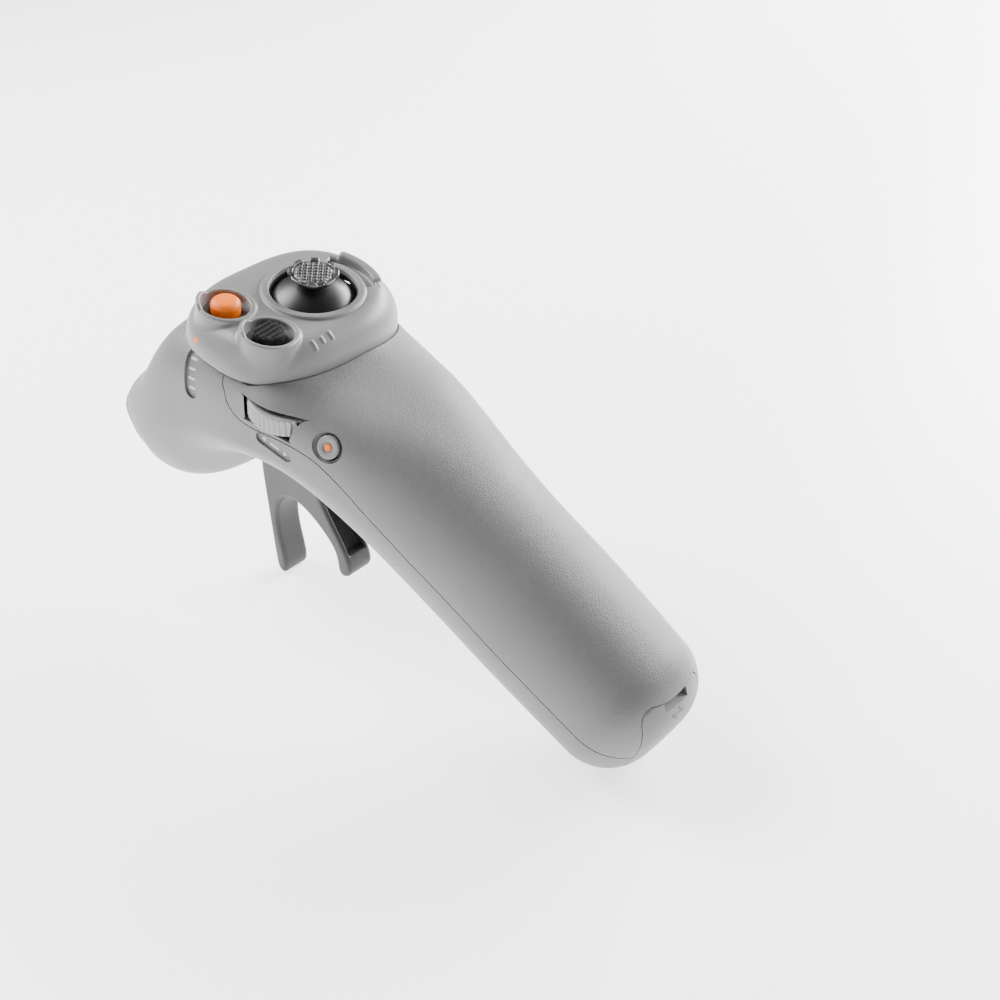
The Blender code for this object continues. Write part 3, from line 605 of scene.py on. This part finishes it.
def section(row, inset, slide=0.0):
    """Ring of casing points at one station, pulled in by inset and slid rearward along the spine."""
    x, z, lean, half, up, down, square_over, square_under = row
    lean = math.radians(lean)
    normal = Vector((math.sin(lean), 0, math.cos(lean)))
    centre = Vector((x, 0, z)) + Vector((-math.cos(lean), 0, math.sin(lean))) * slide
    ring = []
    for i in range(SECTION_POINTS):
        angle = 2 * math.pi * (i + 0.25) / SECTION_POINTS
        c, s = math.cos(angle), math.sin(angle)
        square = square_over if s > 0 else square_under
        side = (half - inset) * power(c, 2 / square)
        high = ((up if s > 0 else down) - inset) * power(s, 2 / square)
        point = centre + Vector((0, side, 0)) + normal * high
        if point.y > 0:
            across = (point.x - SWELL_PLACE[0]) / SWELL_REACH[0]
            over = (point.z - SWELL_PLACE[1]) / SWELL_REACH[1]
            point.y += SWELL_HEIGHT * math.exp(-(across**2) - over**2)
        point.z -= corner_drop(point)
        ring.append(point)
    return ring


def body_mesh(inset):
    """The whole casing from the nose to the end of the grip, pulled in by inset."""
    rows = smooth_between(STATIONS, STEPS_BETWEEN)
    rings = []
    for k in range(END_STEPS):
        turn = math.pi / 2 * (1 - k / END_STEPS)
        radius = NOSE_ROUND - inset
        rings.append(section(rows[0], inset + radius * (1 - math.cos(turn)), -radius * math.sin(turn)))
    rings += [section(row, inset) for row in rows]
    for k in range(1, END_STEPS + 1):
        turn = math.pi / 2 * k / END_STEPS
        radius = GRIP_ROUND - inset
        rings.append(section(rows[-1], inset + radius * (1 - math.cos(turn)), radius * math.sin(turn)))
    return skin(rings)


def cap_outline(inset, height):
    """Plan outline of the cap at one height, pulled in by inset."""
    ring = []
    for i in range(SECTION_POINTS):
        angle = 2 * math.pi * i / SECTION_POINTS
        x = (CAP_HALF_LENGTH - inset) * power(math.cos(angle), 2 / CAP_EXPONENT)
        y = (CAP_HALF_WIDTH - inset) * power(math.sin(angle), 2 / CAP_EXPONENT)
        ring.append(Vector((CAP_CENTRE_X + x, y, height)))
    return ring


def grip_frame(distance):
    """Point on the grip's axis, a distance to the rear of the last station."""
    slope = math.radians(GRIP_SLOPE)
    x, z = STATIONS[-1][0], STATIONS[-1][1]
    return Vector((x - distance * math.cos(slope), 0, z - distance * math.sin(slope)))


def along_grip(low, high):
    """Box whose X runs along the grip, drawn about the last station."""
    centre = grip_frame(0)
    turn = Matrix.Rotation(math.radians(-GRIP_SLOPE), 3, "Y")
    return box(centre + Vector(low), centre + Vector(high), turn, centre)


def cover_window(inset):
    """Outline of the port cover as a prism along the grip, with rounded corners."""
    low, high = COVER_LOW + inset, COVER_HIGH - inset
    half, radius = COVER_HALF_WIDTH - inset, COVER_CORNER - inset
    centre = grip_frame(0)
    turn = Matrix.Rotation(math.radians(-GRIP_SLOPE), 3, "Y")
    corners = ((half - radius, high - radius, 0), (radius - half, high - radius, 90),
               (radius - half, low + radius, 180), (half - radius, low + radius, 270))
    rings = []
    for along in (-60.0, -3.0 - inset):
        ring = []
        for y, z, start in corners:
            for k in range(9):
                angle = math.radians(start + 90 * k / 8)
                flat = Vector((along, y + radius * math.cos(angle), z + radius * math.sin(angle)))
                ring.append(centre + turn @ flat)
        rings.append(ring)
    return skin(rings)


def capsule_outline(length, width):
    """Pill outline in its own plane."""
    steps = 10
    ring = []
    for side in (1, -1):
        for k in range(steps + 1):
            angle = math.radians(-90 + 180 * k / steps) + (0 if side == 1 else math.pi)
            middle = side * (length - width) / 2
            ring.append((middle + width / 2 * math.cos(angle), width / 2 * math.sin(angle)))
    return ring


def sunk_label(name):
    """Pill-shaped recess for one label, no deeper than the labels go."""
    centre, along, normal, length, width = LABELS[name]
    along, normal = Vector(along).normalized(), Vector(normal).normalized()
    across = normal.cross(along)
    outline = capsule_outline(length, width)
    rings = [[Vector(centre) + along * u + across * v + normal * w for u, v in outline] for w in (-3.0, 4.0)]
    return cut(skin(rings), ("DIFFERENCE", body_mesh(LABEL_DEPTH)))


def beside(line, shift):
    """Line of (x, z) points moved sideways, to the rear and upward for a positive shift."""
    moved = []
    for i, (x, z) in enumerate(line):
        before, after = line[max(0, i - 1)], line[min(len(line) - 1, i + 1)]
        run = Vector((after[0] - before[0], after[1] - before[1])).normalized()
        moved.append((x + run.y * shift, z - run.x * shift))
    return moved


def neck_room():
    """Throat that opens the casing into the cap."""
    return skin([cap_outline(2 * WALL, -17.0), cap_outline(NECK_WALL, -13.0), cap_outline(NECK_WALL, 40.0)])


def dial_room():
    """Round room for the dial, flared at both faces and closed at its rear end."""
    radius = DIAL_ROOM
    profile = [(radius + 0.5, -2.9), (radius, -2.6), (radius, 2.6), (radius + 0.5, 2.9)]
    rear_end = box((-30, 20.9, -20), (-22.6, 40, -5))
    return cut(turned(profile, DIAL), ("DIFFERENCE", rear_end))


def record_well():
    """Well of the record button, with a flared mouth."""
    place = Vector(RECORD) - Vector(RECORD_NORMAL).normalized() * 0.6
    edge = RECORD_RADIUS + 0.3
    profile = [(edge, -8), (edge, -0.3), (edge + 0.15, -0.2), (edge + 0.5, 0.1), (edge + 0.75, 0.6),
               (edge + 0.9, 4.0)]
    return turned(profile, place, RECORD_NORMAL)


def trigger_room(rear, front, top, side):
    """Block that opens the underside of the head for the trigger, clearing its flanks by side."""
    low = -62
    return slab([(rear, top), (rear, low), (front, low), (front, top)], TRIGGER_HALF_WIDTH + side)


def shell(side, above, *openings):
    """The part of the casing inside a side view, below the cap, with openings cut through its wall."""
    return cut(body_mesh(0.0), ("DIFFERENCE", body_mesh(WALL)), ("DIFFERENCE", neck_room()),
               ("DIFFERENCE", above), ("INTERSECT", slab(side, 60.0)),
               *(("DIFFERENCE", opening) for opening in openings))


def make_shells(line):
    """The two shells on either side of the parting line; returns the front one."""
    rear_side = beside(line, SEAM / 2) + [(-140.0, line[0][1])]
    front_side = beside(line, -SEAM / 2) + [(-130.0, -120.0), (70.0, -120.0), (70.0, line[0][1])]
    front_above = box((-19.5, -60, SHELL_TOP), (60, 60, 40))
    fallen = [Vector((p.x, p.y, p.z - seam_drop(p.x, p.y))) for p in cap_outline(-SEAM, SHELL_TOP)]
    rear_above = skin([cap_outline(9.0, SHELL_TOP), fallen, cap_outline(-SEAM, 40.0)])
    front = shell(front_side, front_above, trigger_room(-12.5, 13.5, -33.4, 1.0), cover_window(0.0),
                  sunk_label("lock"), sunk_label("fn"))
    rear = shell(rear_side, rear_above, dial_room(), record_well(), cover_window(0.0), sunk_label("fn"))
    casing_front = piece("casing_front", front, "body_plastic", "casing", ["front_shell"])
    piece("casing_rear", rear, "body_plastic", "casing", ["rear_shell"])
    return casing_front


def make_cover():
    """Charging cover with its finger slot, its lower edge held clear for the hinge."""
    finger_slot = along_grip((-60, -3.6, COVER_HIGH - 1.7), (-3.0, 3.6, COVER_HIGH + 1.0))
    hinge_room = along_grip((-60, -20, COVER_LOW - 2.0), (20, 20, COVER_LOW + HINGE_GAP))
    cover = cut(body_mesh(0.0), ("DIFFERENCE", body_mesh(WALL)), ("INTERSECT", cover_window(COVER_GAP)),
                ("DIFFERENCE", finger_slot), ("DIFFERENCE", hinge_room))
    return piece("charging_cover", cover, "body_plastic", "cover", ["port_cover"])


def make_shade_lips(line):
    """Black lips behind the parting line and inside the seam of the cap: painted shade that shows through the
    seams.
    """
    strip = slab(beside(line, 0.8) + beside(line, -0.8)[::-1], 60.0)
    above = skin([cap_outline(-1.0, CAP_SEAM - 1.0), cap_outline(-1.0, 40.0)])
    radius = DIAL_ROOM + 0.2
    lip = cut(body_mesh(0.45), ("DIFFERENCE", body_mesh(1.7)), ("INTERSECT", strip), ("DIFFERENCE", above),
              ("DIFFERENCE", turned([(radius, -2.7), (radius, 2.7)], DIAL)),
              ("DIFFERENCE", trigger_room(-13.0, 13.0, -30.0, 1.5)), ("DIFFERENCE", cover_window(-0.6)))
    piece("parting_shade_lip", lip, "seam_painted_shade", "casing")
    ring = skin([cap_outline(0.6, CAP_SEAM - 0.75), cap_outline(0.6, CAP_SEAM + 0.35)])
    hole = skin([cap_outline(NECK_WALL, CAP_SEAM - 1.0), cap_outline(NECK_WALL, CAP_SEAM + 1.0)])
    piece("cap_shade_lip", cut(ring, ("DIFFERENCE", hole)), "seam_painted_shade", "casing")


# ---------------------------------------------------------------- top cap


def cap_inward(x, y):
    """Inward distance from the plan outline of the cap, positive inside."""
    raw = (np.abs((x - CAP_CENTRE_X) / CAP_HALF_LENGTH) ** CAP_EXPONENT
           + np.abs(y / CAP_HALF_WIDTH) ** CAP_EXPONENT) ** (1 / CAP_EXPONENT)
    far = np.hypot(x - CAP_CENTRE_X, y)
    return (1 - raw) * far / np.maximum(raw, 0.05)


def plain_cap(x, y, z):
    """The cap with nothing on it: flat on top, rounded down to the seam over its shoulder."""
    wide = np.maximum(CAP_SHOULDER - cap_inward(x, y), 0) / CAP_SHOULDER
    tall = np.maximum(z - CAP_SEAM, 0) / -CAP_SEAM
    return (np.sqrt(wide**2 + tall**2) - 1) * 6.6


def from_stick(x, y):
    return np.hypot(x - STICK[0], y - STICK[1])


def with_stick_ring(field, x, y, z):
    """Adds the raised ring round the joystick."""
    radius = from_stick(x, y)
    ring = np.maximum(np.abs(radius - 10.7) - 0.95, np.abs(z + 1.4) - 2.1)
    return smooth_min(field, ring + 0.12 * np.maximum(radius - 10.9, 0), 0.4)


def with_collar(field, x, y, z, centre, lean):
    """Adds the leaning collar of one button, with a raised ear at its outer side."""
    dx, dy = x - centre[0], y - centre[1]
    radius = np.hypot(dx, dy)
    ear = np.clip((np.cos(np.arctan2(dy, dx) - EAR_DIRECTION) - 0.8) / 0.12, 0, 1)
    top = 1.15 + lean[0] * dx + lean[1] * dy + 0.75 * ear
    collar = smooth_max(radius - 6.5 + 0.06 * (z - 1.0), z - top, 0.5)
    cup = np.maximum(radius - CUP_RADIUS, np.maximum(CUP_FOOT - z, z - top))
    field = smooth_min(field, collar, 0.7)
    return np.minimum(field, np.where(z < -1.0, cup, field))


def with_fin(field, x, y, z):
    """Adds the guard fin at the right of the joystick and the trench between the two."""
    radius = from_stick(x, y)
    angle = np.arctan2(y - STICK[1], x - STICK[0])
    reach = np.maximum(np.abs(angle + math.pi / 2) - FIN_HALF_SWING, 0) * FIN_RADIUS
    crest = 0.75 + 0.022 * (np.degrees(angle) + 90) - 0.06 * reach**2
    below = np.where(z < CUP_FOOT, 2.0, 0.0)
    across = np.maximum(radius - FIN_RADIUS - 1.1, FIN_RADIUS - 1.0 - radius) + below
    fin = smooth_max(smooth_max(across, z - crest, 0.6), reach - 1.0, 1.2)
    trench = np.maximum(np.abs(radius - TRENCH_RADIUS) - 0.9, np.maximum(reach - 2.5, -1.15 - z))
    return smooth_min(smooth_max(field, -trench, 1.2), fin, 0.35)


def hollowed(field, plain, x, y, z):
    """Takes out the inside, leaving the wall and a solid cup under each button."""
    inside = smooth_max(plain + CAP_WALL, z + CAP_WALL, 0.3)
    for cx, cy, _ in (LOCK, MODE):
        cup = np.maximum(np.hypot(x - cx, y - cy) - CUP_RADIUS, CUP_FOOT - z)
        inside = np.maximum(inside, -cup)
    return np.maximum(field, -inside)


def opened(field, x, y, z):
    """Cuts the wells and holes of the two buttons, the room of the dome and its opening."""
    for cx, cy, _ in (LOCK, MODE):
        radius = np.hypot(x - cx, y - cy)
        well = np.maximum(radius - WELL_RADIUS - 0.04 * (z - 1), WELL_FLOOR - z)
        field = smooth_max(field, -well, 0.45)
        field = np.maximum(field, -np.maximum(radius - BUTTON_RADIUS - 0.3, z - 1))
    radius = from_stick(x, y)
    ball = np.sqrt(radius**2 + (z - STICK[2]) ** 2) - DOME_RADIUS - 0.4
    field = np.maximum(field, -ball)
    return smooth_max(field, -np.maximum(radius - DOME_OPENING, -3 - z), 0.5)


def make_cap():
    """The top cap, with a dark liner in its round opening and a dark ring on the floor of each of its two wells,
    both painted shade.
    """
    step = 0.2
    low, high = (-19.4, -25.2, -12.0), (22.4, 25.2, 5.2)
    x, y, z = grid_of(low, high, step)
    plain = plain_cap(x, y, z)
    field = with_stick_ring(plain, x, y, z)
    field = with_collar(field, x, y, z, LOCK, (0.07, 0.09))
    field = with_collar(field, x, y, z, MODE, (0.02, 0.11))
    field = with_fin(field, x, y, z)
    field = hollowed(field, plain, x, y, z)
    field = opened(field, x, y, z)
    for k, length in enumerate((1.9, 1.5, 1.9)):
        along = np.abs(x + 14.4 + 0.045 * (y - 5.5)) - length / 2
        mark = np.maximum(along, np.abs(y - 8.2 + k * 2.4) - 0.35)
        field = np.minimum(field, np.maximum(mark, plain - 0.2))
    field = np.maximum(field, CAP_SEAM - seam_drop(x, y) - z)
    # Dark ring on the inner wall of the joystick opening: painted shade there, in the dome's black.
    liner = flat_ring(DOME_OPENING - 0.3, DOME_OPENING - 0.02, -1.2, -0.25, (STICK[0], STICK[1], 0))
    piece("stick_opening_shade_liner", liner, "gloss_plastic", "casing")
    # Dark rings on the floors of the two button wells: painted shade in the recesses round the buttons.
    for name, (cx, cy, _) in (("lock_well_floor", LOCK), ("mode_well_floor", MODE)):
        floor = flat_ring(BUTTON_RADIUS + 0.35, WELL_RADIUS - 0.05, WELL_FLOOR - 0.1, WELL_FLOOR + 0.1,
                          (cx, cy, 0))
        piece(name, floor, "well_floor_shade", "casing")
    return piece("head_cap", surface(field, low, step), "cap_plastic", "casing", ["top_cap"], angle=60)


# ---------------------------------------------------------------- joystick and buttons


def make_dome():
    """Dome of the joystick, drawn up into a neck round the stem."""
    outer = []
    for k in range(28):
        angle = math.radians(68 - 51 * k / 27)
        outer.append((DOME_RADIUS * math.sin(angle), STICK[2] + DOME_RADIUS * math.cos(angle)))
    rim, foot = outer[0], outer[-1]
    neck = []
    for t in (0.15, 0.3, 0.45, 0.6, 0.75, 0.9, 1.0):
        neck.append((STEM_RADIUS + (foot[0] - STEM_RADIUS) * (1 - t) ** 2.2, foot[1] + 1.25 * t))
    base = [(0.5, rim[1] - 0.3), (rim[0] - 1.0, rim[1] - 0.3)]
    stem = [(STEM_RADIUS, 3.4), (1.2, 3.4)]
    dome = turned(base + outer + neck + stem, (STICK[0], STICK[1], 0), steps=128)
    piece("stick_dome", dome, "gloss_plastic", "stick", ["joystick_dome"])


def make_stick_top():
    """Crown of eight tabs round the thumb pad, and the pad's diamond knurl."""
    step = 0.09
    low, high = (STICK[0] - 6.2, STICK[1] - 6.2, 2.8), (STICK[0] + 6.2, STICK[1] + 6.2, 5.5)
    x, y, z = grid_of(low, high, step)
    dx, dy = x - STICK[0], y - STICK[1]
    radius, angle = np.hypot(dx, dy), np.arctan2(dy, dx)
    tab = np.clip(0.5 + 2.6 * (np.cos(8 * angle) + 0.1), 0, 1)
    outside = radius - STICK_CAP_RADIUS + 0.4 * (1 - tab) + 0.75 * np.maximum(4.4 - z, 0)
    crown = smooth_max(smooth_max(outside, z - 4.4 - 0.65 * tab, 0.3), 3.35 - z, 0.2)
    crown = smooth_max(crown, -np.maximum(radius - 4.5, 4.4 - z), 0.2)
    piece("stick_crown", surface(crown, low, step), "gunmetal", "stick", ["joystick_cap"], angle=50)

    pitch = 1.15
    slants = ((dx + dy) / math.sqrt(2), (dx - dy) / math.sqrt(2))
    peak = np.minimum(*(1 - np.abs(2 * np.mod(slant / pitch, 1) - 1) for slant in slants))
    top = 4.55 + 0.45 * np.clip(2.2 * peak, 0, 1) * np.clip((4.2 - radius) / 0.3, 0, 1)
    pad = smooth_max(np.maximum(radius - 4.35, 4.1 - z), (z - top) * 0.55, 0.05)
    piece("stick_knurl", surface(pad, low, step), "knurl_metal", "stick", ["joystick_pad"],
          angle=50)


def make_lock_key():
    """Plain button with a rounded top."""
    side = [(BUTTON_RADIUS, -3.6), (BUTTON_RADIUS, 0.5)]
    shoulder = arc((1.7, 0.5), (1.6, 1.35), 8, 90, 12)
    top = [(1.2, 1.92), (0.6, 2.0), (0.1, 2.02)]
    lock = turned(side + shoulder + top, LOCK)
    piece("lock_key", lock, "orange_plastic", "lock", ["lock_button"], angle=60)


def make_mode_key():
    """Button with ridges across its top."""
    step = 0.1
    low, high = (MODE[0] - 4.2, MODE[1] - 4.2, -3.2), (MODE[0] + 4.2, MODE[1] + 4.2, 3.4)
    x, y, z = grid_of(low, high, step)
    radius = np.hypot(x - MODE[0], y - MODE[1])
    along = x - MODE[0] + 0.1 * (y - MODE[1])
    ridge = np.clip(4 * np.abs(2 * np.mod(along / 1.35 + 0.35, 1) - 1) - 1.8, 0, 1)
    key = smooth_max(radius - BUTTON_RADIUS, (z - 1.15 - 0.6 * ridge) * 0.9, 0.12)
    key = np.maximum(key, -3.1 - z)
    piece("mode_key", surface(key, low, step), "button_plastic", "mode", ["mode_button"], angle=30)


def make_record_key():
    """Flush disc with a dished middle, and the lamp in the dish."""
    disc = [(RECORD_RADIUS, -2.6), (RECORD_RADIUS, -0.35)]
    disc += arc((RECORD_RADIUS - 0.35, -0.35), (0.35, 0.35), 10, 90, 6)
    disc += [(1.7, 0.0), (1.35, -0.08), (1.0, -0.3), (0.95, -0.35), (0.1, -0.35)]
    piece("record_key", turned(disc, RECORD, RECORD_NORMAL), "cap_plastic", "record", ["record_button"])
    dot = [(0.78, -0.35), (0.78, -0.2)] + arc((0.5, -0.2), (0.28, 0.16), 10, 90, 5) + [(0.05, -0.03)]
    piece("record_lamp", turned(dot, RECORD, RECORD_NORMAL, 48), "orange_plastic", "record", ["record_dot"])


def make_dial():
    """Finger wheel with ribs round its rim."""
    high = DIAL_HALF_HEIGHT

    def ribbed(radius, height, angle):
        if radius < DIAL_RADIUS - 0.75:
            return radius
        phase = (angle * DIAL_RIBS / (2 * math.pi)) % 1
        tooth = min(1.0, max(0.0, 1.6 - 4.4 * abs(phase - 0.5)))
        fade = 1 - max(0.0, (abs(height) - high + 0.75) / 0.75)
        return radius - 0.5 * (1 - tooth) * max(0.0, fade)

    rim = DIAL_RADIUS - 0.6
    profile = [(DIAL_BORE, -high), (DIAL_RADIUS - 1.1, -high)]
    profile += arc((rim, -high + 0.6), (0.6, 0.6), -80, 0, 4)
    profile += arc((rim, high - 0.6), (0.6, 0.6), 0, 80, 4)
    profile += [(DIAL_RADIUS - 1.1, high), (DIAL_RADIUS - 1.5, high - 0.15), (DIAL_BORE, high - 0.15)]
    wheel = turned(profile, DIAL, steps=DIAL_RIBS * 10, swell=ribbed)
    bore = turned([(DIAL_BORE, -4), (DIAL_BORE, 4)], DIAL, steps=32)
    wheel = cut(wheel, ("DIFFERENCE", bore))
    piece("dial_wheel", wheel, "dial_plastic", "dial", ["function_dial"], angle=40)


# ---------------------------------------------------------------- trigger


def side_field(x, z, outline):
    """Distance from a side view pulled out sideways without end."""
    flat = polygon_distance(x[:, 0, :], z[:, 0, :], outline)
    return np.broadcast_to(flat[:, None, :], x.shape)


def make_trigger():
    """Lever with its hub, a hollow front, a scooped rear prong, the pin's bore and the magnet's pocket."""
    step = 0.2
    low, high = (-24.0, -4.6, -84.8), (11.2, 4.6, -26.0)
    x, y, z = grid_of(low, high, step)
    around = np.hypot(x - TRIGGER_PIVOT[0], z - TRIGGER_PIVOT[2])
    half = TRIGGER_HALF_WIDTH - 0.5 * np.clip((z + 34.6) / 1.2, 0, 1)
    flat = smooth_min(side_field(x, z, rounded_outline(TRIGGER_OUTLINE)), around - TRIGGER_HUB, 0.4)
    lever = smooth_max(flat, np.abs(y) - half, 1.1)
    scoop = smooth_max(side_field(x, z, SCOOP_OUTLINE), np.abs(y) - 2.7, 0.6)
    lever = smooth_max(lever, -scoop, 0.35)
    dish = np.hypot(x - 12.6, np.maximum(np.abs(z + 62.0) - 13.0, 0) * 0.5) - 3.6
    lever = smooth_max(lever, -smooth_max(dish, np.abs(y) - 2.4, 0.8), 0.4)
    lever = np.maximum(lever, TRIGGER_BORE - around)
    pocket = np.maximum(np.maximum(np.abs(x + 5.2) - 2.2, np.abs(z + 30.0) - 1.9), np.abs(y) - 1.9)
    lever = np.maximum(lever, -pocket)
    piece("trigger_lever", surface(lever, low, step), "trigger_plastic", "trigger_lever", ["trigger"],
          angle=50)


# ---------------------------------------------------------------- marks


def inlay(name, outline, centre, along, normal, target, finish, body, lift=0.07):
    """Thin mark laid on the surface of a piece: outline is in the plane across the normal."""
    along, normal = Vector(along).normalized(), Vector(normal).normalized()
    along = (along - normal * along.dot(normal)).normalized()
    across = normal.cross(along)
    hit_tree = BVHTree.FromObject(target, bpy.context.evaluated_depsgraph_get())
    downward = -(HEAD.to_3x3().normalized() @ normal)
    middle = Vector((sum(u for u, _ in outline) / len(outline), sum(v for _, v in outline) / len(outline)))
    rings = []
    for share in (1.0, 0.8, 0.6, 0.4, 0.2, 0.02):
        ring = []
        for u, v in outline:
            flat = middle + (Vector((u, v)) - middle) * share
            start = HEAD @ (Vector(centre) + along * flat.x + across * flat.y + normal * 4.0)
            place, face_normal, _, _ = hit_tree.ray_cast(start, downward)
            ring.append((place, face_normal))
        rings.append(ring)
    lower = [[HEAD.inverted() @ (p - n * 0.1 * MM) for p, n in rings[0]]]
    upper = [[HEAD.inverted() @ (p + n * lift * MM) for p, n in ring] for ring in rings]
    piece(name, skin(lower + upper), finish, body)


def oblong(length, width, u=0.0):
    """Rectangle in its own plane, moved along by u."""
    return [(u - length / 2, -width / 2), (u + length / 2, -width / 2), (u + length / 2, width / 2),
            (u - length / 2, width / 2)]


def make_marks(front, cover, cap):
    """Plain bars, arrows and dots in place of words."""
    centre, along, normal, _, _ = LABELS["lock"]
    for k, u in enumerate((-3.3, -1.1, 1.1, 3.3)):
        inlay(f"lock_label_bar_{k + 1}", oblong(0.5, 2.2, u), centre, along, normal, front, "label_ink",
              "casing")
    centre, along, normal, _, _ = LABELS["fn"]
    signs = {"left": [(2.6, 0.7), (2.6, -0.7), (3.6, 0)], "right": [(-2.6, 0.7), (-3.6, 0), (-2.6, -0.7)],
             "middle": oblong(2.4, 0.6)}
    for name, outline in signs.items():
        inlay(f"dial_label_{name}", outline, centre, along, normal, front, "label_ink", "casing")
    pointer = [(-1.0, -0.7), (1.0, -0.7), (0.2, 1.1)]
    inlay("lock_pointer", pointer, (7.2, 22.6, -5.1), (1, 0, 0), (0.19, 0.9, 0.38), cap, "orange_plastic",
          "casing")
    slope = math.radians(GRIP_SLOPE)
    rearward = (-math.cos(slope), 0, -math.sin(slope))
    centre = grip_frame(12.0) + Vector((-math.sin(slope), 0, math.cos(slope))) * 9.0
    outlines = {"stem": oblong(3.0, 0.32)}
    for k, (u, v) in enumerate(((-1.5, 0), (1.5, 0), (0.5, 0.9), (-0.4, -0.9))):
        turns = [i * math.pi / 6 for i in range(12)]
        outlines[f"dot_{k + 1}"] = [(u + 0.36 * math.cos(a), v + 0.36 * math.sin(a)) for a in turns]
    for name, outline in outlines.items():
        inlay(f"port_mark_{name}", outline, centre, (0, 1, 0), rearward, cover, "dark_ink", "cover",
              lift=0.04)


def finish_inner_nodes():
    """Materials for the CAD nodes that stay as they are."""
    slots = {s["node"]: s["material_slot"] for s in frame["record"]["subparts"]}
    for name, node in frame["nodes"].items():
        node.data.materials.clear()
        node.data.materials.append(MATERIALS[slots[name]])


add_camera()
add_studio()
finish_inner_nodes()
parting_line = smooth_between(PARTING, 6)
casing_front = make_shells(parting_line)
charging_cover = make_cover()
make_shade_lips(parting_line)
head_cap = make_cap()
make_dome()
make_stick_top()
make_lock_key()
make_mode_key()
make_record_key()
make_dial()
make_trigger()
make_marks(casing_front, charging_cover, head_cap)
